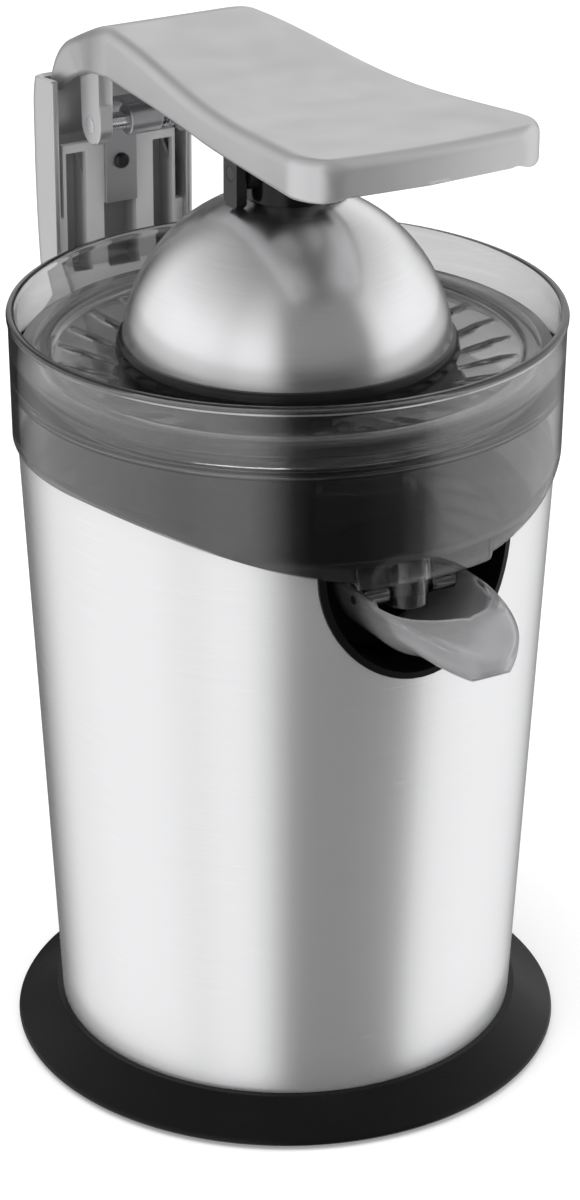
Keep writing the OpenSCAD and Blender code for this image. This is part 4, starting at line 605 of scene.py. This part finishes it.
# A hair is left free above the base, and taken off the edge to make room for its crown.
SLEEVE_WALL, HAIR = 0.8, 0.1
sleeve_angles = even_angles(cut_z, 900)
sleeve_edge = cut_z(sleeve_angles)
climb = np.concatenate([[0, 0.006, 0.02], np.linspace(0.06, 0.97, 30), [0.992, 1]])
outer_z = SLEEVE_FOOT_Z + HAIR + climb[:, None] * (sleeve_edge - SLEEVE_FOOT_Z - HAIR)
crown = np.array([[0.12, 0.12], [0.4, 0.2], [0.68, 0.12]])
top_z = sleeve_edge + crown[:, 1, None] - HAIR
skins = [(outer_z, 0), (top_z, crown[:, 0, None]), (outer_z[::-1], SLEEVE_WALL)]
sleeve_points = np.concatenate([around(sleeve_r(z) - inset, z, sleeve_angles) for z, inset in skins])
make_piece("steel_sleeve", [sheet(sleeve_points, True, True)], ["body_sleeve"], smooth=50)

# %% [markdown]
# ## The juice collector
# The collector is a round bowl of smoky plastic. Its wall has a thicker rim and, inside, a ledge for
# the strainer. At the front the wall follows the sleeve's dipping edge and ends in a short apron over
# the spout. The floor falls to the front, with a chimney round the shaft and an outlet tube. Wall,
# floor and tube are separate closed skins with a hair of air between them, so that light meets no
# hidden face inside the plastic.

# %% Collector wall
COLLECTOR_R, RIM_Z, RIM_MORE, SEAM = 91.2, 266.7, 0.8, 0.4
APRON_HALF_W, APRON_Z, APRON_EDGE = 25.2, 203.5, 1.2


def collector_r(z):
    """Radius of the collector's outside: it grows a little from the apron to the rim."""
    return COLLECTOR_R + RIM_MORE * (z - APRON_Z) / (RIM_Z - APRON_Z)


def wall_foot(angle):
    """Lower edge of the wall: just above the steel's edge, and down to the apron in front."""
    z = edge_z(angle, collector_r) + SEAM
    inside = (APRON_HALF_W - np.abs(COLLECTOR_R * np.sin(angle))) / APRON_EDGE + 0.5
    return z + (np.minimum(z, APRON_Z) - z) * smooth_step(inside) * (np.cos(angle) > 0)


wall_angles = even_angles(wall_foot, 480, radius=91.0)
foot_line = wall_foot(wall_angles)
# Each row has the inset from the outside, a height, and how far the row follows the foot line: 1 is the
# foot line plus the height, 0 is level at the height, and between them the height isn't used.
WALL_ROWS = np.array([
    (0.7, 0.0, 1), (0.2, 0.2, 1), (0, 0.7, 1), (0, 0, 0.75), (0, 0, 0.5), (0, 0, 0.25), (0, 240, 0),
    (0, 252, 0), (0, 263.6, 0), (-0.1, 264.2, 0), (-0.45, 264.7, 0), (-0.5, 265.6, 0), (-0.2, 266.4, 0),
    (0.4, 266.7, 0), (1.6, 266.7, 0), (2.05, 266.4, 0), (2.2, 265.8, 0), (2.2, 255, 0), (2.2, 245.4, 0),
    (2.5, 244.8, 0), (3.2, 244.5, 0), (5.6, 244.5, 0), (6.1, 244.2, 0), (6.1, 242.9, 0), (5.6, 242.5, 0),
    (2.8, 242.5, 0), (2.2, 241.9, 0), (2.2, 0, 0.05), (2.2, 0, 0.25), (2.2, 0, 0.5), (2.2, 0, 0.75),
    (2.2, 0.7, 1), (2.0, 0.2, 1), (1.5, 0.0, 1)])
LEVEL_Z = 240.0
inset, rise, follow = [WALL_ROWS[:, k, None] for k in range(3)]
following = foot_line + np.where(follow == 1, rise, (LEVEL_Z - foot_line) * (1 - follow))
wall_z = np.where(follow > 0, following, rise)
collector_skins = [sheet(around(collector_r(wall_z) - inset, wall_z, wall_angles), True, True)]

# %% Collector floor, chimney and outlet
FLOOR_LOW, FLOOR_TOP, FLOOR_R, FLOOR_FALL = 216.9, 219.0, 88.9, math.radians(4)
LEAN_START, LEAN_FADE = 226.0, 4.0
CHIMNEY_R, CHIMNEY_OUT, CHIMNEY_TOP = 10.0, 12.0, 236.0
OUTLET_Y, OUTLET_R, OUTLET_BORE, OUTLET_LOW, OUTLET_TOP, LUG_Z = 76.5, 7.5, 5.5, 190.5, 211.2, 195.0


def on_fall(profile):
    """A turned profile whose low points lean with the floor: there z rises by y tan(4 degrees)."""
    points, faces = turned(profile, 160)
    lean = np.clip((LEAN_START - points[..., 2]) / LEAN_FADE, 0, 1)
    points[..., 2] += lean * points[..., 1] * math.tan(FLOOR_FALL)
    return points, faces


floor_profile = rounded([(CHIMNEY_R, FLOOR_LOW), (FLOOR_R, FLOOR_LOW), (FLOOR_R, FLOOR_TOP),
                         (CHIMNEY_OUT, FLOOR_TOP), (CHIMNEY_OUT, CHIMNEY_TOP), (CHIMNEY_R, CHIMNEY_TOP)],
                        [0.3, 0.3, 0.3, 1.5, 0.6, 0.6])
collector_skins.append(on_fall(floor_profile))
tube_profile = rounded([(OUTLET_BORE, OUTLET_LOW), (OUTLET_R, OUTLET_LOW), (OUTLET_R, OUTLET_TOP),
                        (OUTLET_BORE, OUTLET_TOP)], 0.5)
tube_points, tube_faces = turned(tube_profile, 64)
collector_skins.append((tube_points - [0, OUTLET_Y, 0], tube_faces))


def lug(side):
    """A pivot lug beside the outlet tube: a short round bar along X with rounded ends."""
    profile = rounded([(1.7, 7.9), (3.4, 7.9), (3.4, 17), (1.7, 17)], 0.4, steps=3)
    points, faces = turned(profile, 40)
    bar = np.stack([side * points[..., 2], points[..., 0] - OUTLET_Y, points[..., 1] + LUG_Z], -1)
    return bar, faces


collector_skins += [lug(-1), lug(1)]
make_piece("collector_bowl", collector_skins, ["juice_collector"], smooth=40)

# %% [markdown]
# ## The strainer
# The strainer is a shallow dish with two rings of radial slots, through which the juice falls. Its
# grid has a column on each long side of a slot, kept 1 mm from the slot's middle line, so the slots
# have straight sides, and the faces inside them are left out before the dish gets its thickness.

# %% Strainer dish
SLOTS, SLOT_HALF, SLOT_RINGS = 28, 1.0, ((26, 36), (60, 70))
STRAINER_LINE = np.array([
    (88.2, 244.8), (88.2, 252.6), (88.0, 253.2), (87.5, 253.5), (83, 253.5), (79.4, 253.5), (78.6, 253.1),
    (77.6, 251.5), (76.6, 250.8), (70, 249.0), (65, 247.5), (60, 246.1), (56, 245.0), (50, 243.4),
    (42, 241.3), (39.2, 240.6), (37.5, 240.5), (36, 240.5), (31, 240.5), (26, 240.5), (18, 240.5),
    (15.2, 240.6), (14.4, 241.2), (14.2, 242), (14.2, 245.2), (14.0, 245.8), (13.4, 246.0), (8.8, 246.0)])
slot_step = 2 * math.pi / SLOTS
slot_angle = SLOT_HALF / STRAINER_LINE[:, 0, None, None]
between_slots = slot_angle + (slot_step - 2 * slot_angle) * np.linspace(0, 1, 7)[1:-1]
step_angles = np.concatenate([-slot_angle, 0 * slot_angle, slot_angle, between_slots], -1)
slot_places = (np.arange(SLOTS)[:, None] + 0.5) * slot_step
strainer_angle = (step_angles + slot_places).reshape(len(STRAINER_LINE), -1)
strainer_points, strainer_faces = sheet(
    around(STRAINER_LINE[:, 0, None], STRAINER_LINE[:, 1, None], strainer_angle), False, True)
row, column = np.divmod(strainer_faces[:, 0], strainer_angle.shape[1])
mid_r = (STRAINER_LINE[row, 0] + STRAINER_LINE[row + 1, 0]) / 2
in_ring = np.any([(mid_r > low) & (mid_r < high) for low, high in SLOT_RINGS], axis=0)
in_slot = in_ring & (column % step_angles.shape[-1] < 2)
make_piece("strainer_dish", [(strainer_points, strainer_faces[~in_slot])], ["strainer"], smooth=40,
           wall=1.8, look="smoky_strainer")

# %% [markdown]
# ## The reaming cone
# The cone is the hardest form to make by hand: ten ribs climb an ogive and turn a little on their
# way, deep at the foot and dying out at the tip. One formula gives it: the radius of the ogive,
# times one minus the rib's depth, where the depth follows the sine of the angle.

# %% Ribbed cone
CONE_R, CONE_H, CONE_FOOT_Z = 33.0, 42.0, 251.8
RIBS, RIB_DEPTH, RIB_TWIST = 10, 0.15, math.radians(14)
u = 1 - np.linspace(1, 0, 60)[:, None] ** 1.35
a = np.linspace(0, 2 * math.pi, 320, endpoint=False)
ogive = CONE_R * np.sqrt(np.clip(1 - u ** 1.7, 0, 1))
groove = 1 - RIB_DEPTH * (1 - 0.5 * u) * np.abs(np.sin(RIBS / 2 * (a + RIB_TWIST * u))) ** 0.8
cone_points = around(ogive * groove, CONE_FOOT_Z + CONE_H * u, a + RIB_TWIST * u)
flange = rounded([(8, 250), (34.5, 250), (34.5, 252), (20, 252), (20, 251), (8, 251)],
                 [0.3, 0.7, 0.7, 0, 0, 0])
bore = rounded([(5.4, 233), (8, 233), (8, 250.5), (5.4, 250.5)], 0.4)
make_piece("reaming_cone", [sheet(cone_points, False, True), turned(flange), turned(bore, 64)],
           ["reamer_cone"], smooth=60)

# %% [markdown]
# ## The dome
# The press dome is a steel cap over a black liner. The cap is a thin spherical shell, the liner shows
# below it as a black ring that closes on the fruit, with short ribs inside to hold the fruit still.

# %% Steel cap
DOME_R, DOME_Z, DOME_WALL, DOME_FOOT_Z, DOME_HOLE_R = 54.9, 251.5, 0.8, 257, 7.2
tilt = np.linspace(math.asin((DOME_FOOT_Z - DOME_Z) / DOME_R), math.acos(DOME_HOLE_R / DOME_R), 72)


def cap_arc(radius, tilt):
    """The dome's profile at a radius about its centre."""
    return np.stack([radius * np.cos(tilt), DOME_Z + radius * np.sin(tilt)], -1)


cap_profile = np.concatenate([cap_arc(DOME_R, tilt), cap_arc(DOME_R - DOME_WALL, tilt[::-1])])
make_piece("dome_cap", [turned(cap_profile, 240)], ["dome_shell"], smooth=50)
dressed("dome_liner", smooth=40)

# %% [markdown]
# ## The press arm
# The arm is one long moulding with a gentle wave, that widens towards its free end and bends down
# behind, round the hinge. It is a rounded box section carried along two lines: the top line and the
# bottom line of its side view. Each station gives a point on each line and a half width.

# %% Lines of the arm
ELBOW_Y, ARM_FRONT, SEAM_ANGLE, ARC_START, ELBOW_R = 70.0, 88.0, 19.0, 66.0, 30.4
HINGE = np.array([102.0, 303.0])
ARM_LEVEL, WAVE_HEIGHT, WAVE_LENGTH, WAVE_START, ARM_DEPTH = 343.9, 2.1, 160, 12, 12
ARM_HALF, ARM_TAPER, ARM_TUCK = 36.3, 0.0946, 2


def arm_top(y):
    """Top line: a wave 2.1 mm high and 160 mm long."""
    return ARM_LEVEL - WAVE_HEIGHT * np.cos(2 * math.pi * (y + WAVE_START) / WAVE_LENGTH)


def arm_bottom(y):
    """Bottom line: 12 mm below the top, more at the free end and at the elbow."""
    return arm_top(y) - ARM_DEPTH - 1.6 * smooth_step((-y - 20) / 60) - 5 * smooth_step((y + 5) / 75)


def arm_half(y):
    """Half width: wider towards the free end, with a tuck at the elbow."""
    return ARM_HALF - ARM_TAPER * y - ARM_TUCK * smooth_step((y - ELBOW_Y) / 32)


def about_hinge(radius, degrees):
    """Points on a circle about the hinge, in the side view."""
    turn = np.radians(degrees)
    return np.stack([HINGE[0] + radius * np.cos(turn), HINGE[1] + radius * np.sin(turn)], -1)


def bent(a, b, c, t):
    """A curve from a to c that is drawn towards b, as a quadratic."""
    t = np.asarray(t)[:, None]
    return (1 - t) ** 2 * a + 2 * t * (1 - t) * b + t * t * c


straight_y = np.linspace(-ARM_FRONT, ELBOW_Y, 80)
share = np.linspace(0, 1, 31)[1:]
top_a = np.array([ELBOW_Y, arm_top(ELBOW_Y)])
top_c = about_hinge(ELBOW_R, ARC_START)
top_b = np.array([top_c[0] - (top_a[1] - top_c[1]) * math.tan(math.radians(ARC_START)), top_a[1]])
low_a = np.array([ELBOW_Y, arm_bottom(ELBOW_Y)])
low_c = about_hinge(ELBOW_R - 8.5, SEAM_ANGLE)
low_b = low_a + (low_c - low_a) * np.array([0.62, 0.2])
top_line = np.concatenate([np.stack([straight_y, arm_top(straight_y)], -1),
                           bent(top_a, top_b, top_c, share),
                           about_hinge(ELBOW_R, ARC_START + (SEAM_ANGLE - ARC_START) * share)])
low_line = np.concatenate([np.stack([straight_y, arm_bottom(straight_y)], -1),
                           bent(low_a, low_b, low_c, 0.55 * share),
                           bent(low_a, low_b, low_c, 0.55 + 0.45 * share)])
half_line = arm_half(top_line[:, 0])
print("arm stations:", len(top_line))

# %% Arm shell
ARM_WALL, TOP_ROUND, LOW_ROUND = 2.4, 4.4, 1.8
CORNER_R, LIP_R, NOSE_BOW, NOSE_MORE = 13.5, 3.8, 3.8, 3.0


def arm_sections(top, low, half):
    """Open box sections: up one side, over the top and down the other, with rounded corners."""
    quarter = np.radians(np.linspace(0, 90, 10))
    across = np.linspace(-1, 1, 25)[1:-1]
    up = top - low
    height = np.hypot(up[:, 0], up[:, 1])[:, None]
    r_top = np.minimum(TOP_ROUND, height / 2.3)
    r_low = np.minimum(LOW_ROUND, height / 2.6)
    half = half[:, None]
    left_low = (-half + r_low * (1 - np.sin(quarter)), r_low * (1 - np.cos(quarter)))
    left_top = (-half + r_top * (1 - np.cos(quarter)), height - r_top * (1 - np.sin(quarter)))
    flat = (across * (half - r_top), np.broadcast_to(height, (len(height), len(across))))
    x, v = [np.concatenate([left_low[k], left_top[k], flat[k], mirror * left_top[k][:, ::-1],
                            mirror * left_low[k][:, ::-1]], 1) for k, mirror in ((0, -1), (1, 1))]
    return side_swept(x, low, up / height, v)


def round_in(run, radius):
    """How far a quarter circle has drawn in, run past its end: radius at 0, and 0 from radius on."""
    return radius - np.sqrt(np.clip(radius ** 2 - np.clip(radius - run, 0, None) ** 2, 0, None))


nose_run = CORNER_R * (1 - np.cos(np.linspace(0, math.pi / 2, 22)))[:-1]
nose_y = nose_run - ARM_FRONT - NOSE_MORE
lip = round_in(nose_run, LIP_R)
nose_top = np.stack([nose_y, arm_top(nose_y) - lip], -1)
nose_low = np.stack([nose_y, arm_bottom(nose_y) + 0.6 * lip], -1)
nose_half = arm_half(nose_y) - round_in(nose_run, CORNER_R)
behind_nose = top_line[:, 0] > CORNER_R - ARM_FRONT - NOSE_MORE
all_top = np.concatenate([nose_top, top_line[behind_nose]])
all_low = np.concatenate([nose_low, low_line[behind_nose]])
all_half = np.concatenate([nose_half, half_line[behind_nose]])
arm_points = arm_sections(all_top, all_low, all_half)
centre = np.array([0, nose_y[0], all_low[0, 1]])
closing = centre + (arm_points[0] - centre) * np.linspace(0, 1, 8)[:-1, None, None]


def bowed(points):
    """Push points near the free end back by the square of their x, so the front face is bowed."""
    x, y, z = np.moveaxis(points, -1, 0)
    return np.stack([x, y + NOSE_BOW * (x / 44) ** 2 * smooth_step((-y - 50) / 38), z], -1)


make_piece("arm_moulding", [sheet(bowed(np.concatenate([closing, arm_points])))], ["arm_top_shell"],
           smooth=60, wall=ARM_WALL)
dressed("arm_yoke", bevel=0.5)

# %% Plate under the arm
COVER_T, COVER_IN, COVER_FRONT, COVER_END, COVER_EDGE = 2.2, 3.3, -86.5, 85.5, 0.4
cover_y = np.concatenate([COVER_FRONT + CORNER_R * (1 - np.cos(np.linspace(0.25, math.pi / 2, 18))),
                          np.linspace(COVER_FRONT + CORNER_R + 1, COVER_END, 60)])[:, None]
cover_half = arm_half(cover_y) - COVER_IN - round_in(cover_y - COVER_FRONT, CORNER_R)
cover_low = np.interp(cover_y, low_line[:, 0], low_line[:, 1])
edge_side = np.array([-1, -1, -1, -1, 1, 1, 1, 1])
edge_in = COVER_EDGE * np.array([1, 0, 0, 1, 1, 0, 0, 1])
edge_up = np.array([COVER_T, COVER_T - COVER_EDGE, COVER_EDGE, 0])
cover_x = edge_side * (cover_half - edge_in)
cover_z = cover_low + np.concatenate([edge_up, edge_up[::-1]])
cover_points = np.stack([cover_x, np.broadcast_to(cover_y, cover_x.shape), cover_z], -1)
make_piece("arm_underside", [sheet(bowed(capped(cover_points, keep=[0, 1, 1])), False, True)],
           ["arm_bottom_cover"], smooth=50)
dressed("dome_hub", smooth=40)

# %% [markdown]
# ## The column
# The column carries the hinge behind the bowl. Its silver cover is a channel that is open to the
# front: two flat cheeks and a back that sweeps down into the body. The back line and the front line
# of its side view are matched point by point, and a U is drawn between each pair.

# %% Column cover
COLUMN_HALF, COLUMN_WALL, COLUMN_REAR, COLUMN_ROUND = 27.4, 2.2, 33.0, 6.0
BOW_CENTRE, BOW_REACH, BOW_DROP = (85.8, 285.0), 49.2, 135.0
front_corners = np.array([(116, 315.8), (116, 248), (94, 226), (89.2, 226), (84.6, 223), (84.6, 212),
                          (81.2, 150)])
front_length = lengths(front_corners) / lengths(front_corners)[-1]
t = np.unique(np.concatenate([np.linspace(0, 1, 90), front_length, front_length[1:3] + 0.004,
                              front_length[1:3] - 0.004]))
front_line = np.stack([np.interp(t, front_length, front_corners[:, k]) for k in (0, 1)], -1)
arc = about_hinge(COLUMN_REAR, np.linspace(SEAM_ANGLE, 0, 40))
bow_turn = np.linspace(0, math.pi / 2, 200)
bow = BOW_CENTRE + np.stack([BOW_REACH * np.cos(bow_turn), -BOW_DROP * np.sin(bow_turn)], -1)
back = np.concatenate([arc, bow])
back_length = lengths(back)
back_line = np.stack([np.interp(t * back_length[-1], back_length, back[:, k]) for k in (0, 1)], -1)
towards_front = front_line - back_line
depth = np.hypot(*towards_front.T)[:, None]
towards_front = towards_front / depth
round_off = np.minimum(COLUMN_ROUND, depth * 0.5)
corner = np.linspace(0, math.pi / 2, 12)
side_share = np.linspace(1, 0, 14)[:-1]
into = np.concatenate([round_off + (depth - round_off) * side_share, round_off * (1 - np.sin(corner))], 1)
across = np.concatenate([np.full((len(t), 13), -COLUMN_HALF),
                         -COLUMN_HALF + round_off * (1 - np.cos(corner))], 1)
middle = np.linspace(-1, 1, 15)[1:-1] * (COLUMN_HALF - round_off)
into = np.concatenate([into, np.zeros_like(middle), into[:, ::-1]], 1)
across = np.concatenate([across, middle, -across[:, ::-1]], 1)
make_piece("column_cover", [sheet(side_swept(across, back_line, towards_front, into))],
           ["column_shell"], smooth=60, wall=COLUMN_WALL, bevel=0.8)

# %% Rounded front edges of the column cover
BEAD_W, BEAD_D, BEAD_CORNER, BEAD_PROUD = 2.4, 3.2, 0.45, 0.6
BEAD_STEPS, BEAD_ENDS = np.linspace(0, 1, 60), [0, 0.69, 1]
bead_path = np.stack([np.interp(BEAD_STEPS, BEAD_ENDS, [116.0, 116.0, 95.0]),
                      np.interp(BEAD_STEPS, BEAD_ENDS, [315.2, 248.0, 227.0])], -1)
forward = side_normals(bead_path)
middle_line = bead_path - forward * (BEAD_D / 2 - BEAD_PROUD)
ring_turn = np.linspace(0, 2 * math.pi, 24, endpoint=False)
ring_x, ring_f = [size / 2 * np.sign(wave) * np.abs(wave) ** BEAD_CORNER
                  for size, wave in ((BEAD_W, np.cos(ring_turn)), (BEAD_D, np.sin(ring_turn)))]
beads = [capped(side_swept(side * (COLUMN_HALF - BEAD_W / 2) + ring_x, middle_line, forward, ring_f))
         for side in (-1, 1)]
make_piece("column_edges", [sheet(bead, False, True) for bead in beads], ["column_shell"], smooth=70)

# %% [markdown]
# ## The hinge
# Two lugs hang from the arm and carry the hinge pin. A steel strap, screwed to the column's frame,
# rises behind the pin and curls forward round it. A lug's outline is given by its distance from the
# pin in each direction: a half circle below, and straight sides up to the arm.

# %% Lugs and knuckle round the hinge pin
LUG_R, LUG_TOP, LUG_SPANS, KNUCKLE_R = 7.0, 27.2, ((-19.7, -14.4), (14.4, 19.7)), 5.5


def lug_outline(radius, top):
    """Outline about the pin: distance radius below it, and above it the nearer of side and top."""
    turn = np.linspace(0, 2 * math.pi, 96, endpoint=False)
    side_way = radius / np.maximum(np.abs(np.cos(turn)), 1e-6)
    top_way = top / np.maximum(np.sin(turn), 1e-6)
    reach = np.where(np.sin(turn) > 0, np.minimum(side_way, top_way), radius)
    return np.stack([reach * np.cos(turn), reach * np.sin(turn)], -1)


def across_pin(outline, x0, x1, edge=0.5):
    """An outline about the pin carried along X from x0 to x1, with its edges cut by edge mm."""
    small = outline * (1 - edge / np.hypot(*outline.T)[:, None])
    rows = [(x0, 0 * outline), (x0, small), (x0 + edge, outline),
            (x1 - edge, outline), (x1, small), (x1, 0 * outline)]
    return sheet(np.stack([np.insert(HINGE + ring, 0, x, axis=1) for x, ring in rows]), False, True)


make_piece("hinge_lugs", [across_pin(lug_outline(LUG_R, LUG_TOP), *span) for span in LUG_SPANS],
           ["hinge_drum"], smooth=30)

# %% Steel strap that curls round the pin
STRAP_T, STRAP_HALF, STRAP_Y, STRAP_FOOT, STRAP_BEND = 1.6, 6.2, 118.1, 268.0, 297.0
CURL_R, CURL_TURN = 12.0, np.radians(np.linspace(0, 112, 30))
strap_y = np.concatenate([np.full(12, STRAP_Y), STRAP_Y - CURL_R + CURL_R * np.cos(CURL_TURN[1:])])
strap_z = np.concatenate([np.linspace(STRAP_FOOT, STRAP_BEND, 12),
                          STRAP_BEND + CURL_R * np.sin(CURL_TURN[1:])])
strap_line = np.stack([strap_y, strap_z], -1)
corner_x, corner_out = STRAP_HALF * np.array([-1, 1, 1, -1]), STRAP_T / 2 * np.array([1, 1, -1, -1])
strap = capped(side_swept(corner_x, strap_line, side_normals(strap_line), corner_out))
circle = KNUCKLE_R * np.stack([np.cos(ring_turn), np.sin(ring_turn)], -1)
make_piece("hinge_strap", [sheet(strap, False, True), across_pin(circle, -STRAP_HALF, STRAP_HALF)],
           ["hinge_tongue"], smooth=35, bevel=0.25)

# %% [markdown]
# ## The spout
# The spout is a small clog of frosted plastic: an open mouth that catches the juice, and a closed toe
# that leads it down to a cut at its underside. Each station along it has a half width, a bottom, a
# middle height and a top. The lower wall is half an ellipse. The top wall runs inwards from both
# sides to the rim of the opening, which narrows to a point on the middle line, and closes behind it.

# %% Spout as a clog
SPOUT_BACK, MOUTH_END, APEX_Y, TOE_LENGTH = -64.6, -88.0, -113.0, 43.8
MOUTH_HALF, MOUTH_RIM, MOUTH_DEPTH, SPOUT_WALL = 20.0, 198.5, 22.0, 1.8
TOE_DROP, TOE_RISE, TOE_SHALLOWER = 8.5, 4.5, 5.4
POUR_POINT, POUR_WAY = (0, -0.123, 0.1822), (0, -0.5, -0.866)
toe_turn = np.linspace(0, math.pi / 2, 48)
spout_y = np.concatenate([np.linspace(SPOUT_BACK, MOUTH_END, 12)[:-1],
                          MOUTH_END - TOE_LENGTH * np.sin(toe_turn)])[:, None]
ahead = np.clip((MOUTH_END - spout_y) / TOE_LENGTH, 0, 1)
shrink = np.sqrt(np.clip(1 - ahead ** 2, 0, 1))
spout_half = MOUTH_HALF * shrink ** 0.9
spout_mid = MOUTH_RIM - TOE_DROP * (1 - shrink) ** 0.8
spout_depth = (MOUTH_DEPTH - TOE_SHALLOWER * smooth_step((-spout_y - 85) / 22)) * shrink ** 0.5
spout_rise = TOE_RISE * smooth_step((ahead - 0.2) / 0.5) * shrink ** 0.6
narrowing = np.clip((MOUTH_END - spout_y) / (MOUTH_END - APEX_Y), 0, 1)
opening = np.sqrt(1 - narrowing ** 2)
low_turn = np.linspace(-math.pi / 2, math.pi / 2, 41)
low_x = spout_half * np.sin(low_turn)
low_z = spout_mid - spout_depth * np.cos(low_turn)
top_x = spout_half * (1 - (1 - opening) * np.linspace(0, 1, 11)[1:])
top_z = spout_mid + spout_rise * np.sqrt(1 - (top_x / np.maximum(spout_half, 1e-6)) ** 2)
spout_x = np.concatenate([-top_x[:, ::-1], low_x, top_x], 1)
spout_z = np.concatenate([top_z[:, ::-1], low_z, top_z], 1)
spout_points = np.stack([spout_x, np.broadcast_to(spout_y, spout_x.shape), spout_z], -1)


def pour_cut(shape):
    """Cut the toe off below a plane that faces down and forward: the opening to pour from."""
    geometry = shape.verts[:] + shape.edges[:] + shape.faces[:]
    bmesh.ops.bisect_plane(shape, geom=geometry, plane_co=POUR_POINT, plane_no=POUR_WAY, clear_outer=True)


make_piece("clog_spout", [sheet(spout_points)], ["spout"], smooth=50, wall=SPOUT_WALL, trim=pour_cut)

# %% [markdown]
# ## The remaining pieces
# The solids of the model are exact, so the small and the inner pieces keep their shapes. They get
# joined triangles, soft edges where a hand or a lamp would find them, and their finishes.

# %% Small visible pieces
dressed("tongue_screw", bevel=0.15, look="black_screw")
dressed("spout_pins", bevel=0.2, look="dull_pin")
dressed("dome_pin", bevel=0.3, look="dull_pin")
BEVELS = {"column_frame": 0.5, "hinge_pin": 0.2, "torsion_spring": 0, "spout_recess": 0.3,
          "top_deck": 0.3, "deck_screws": 0.1, "dome_screw": 0.1, "yoke_screws": 0.15,
          "arm_screws": 0.15, "base_plate": 0.3, "base_screws": 0.15, "inlet_grommet": 0.3,
          "drive_shaft": 0.2, "shaft_seal": 0.2, "inner_housing": 0, "column_screws": 0.1}
for node, width in BEVELS.items():
    dressed(node, bevel=width)

# %% Finishes of the pieces that keep their solids
replaced_nodes = {n for piece in made for n in piece["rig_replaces"]}
for node, solid in frame["nodes"].items():
    if node not in replaced_nodes:
        solid.data.materials.clear()
        solid.data.materials.append(finishes[slot_of_node[node]])
print("new pieces:", len(made), "kept solids:", len(frame["nodes"]) - len(replaced_nodes))
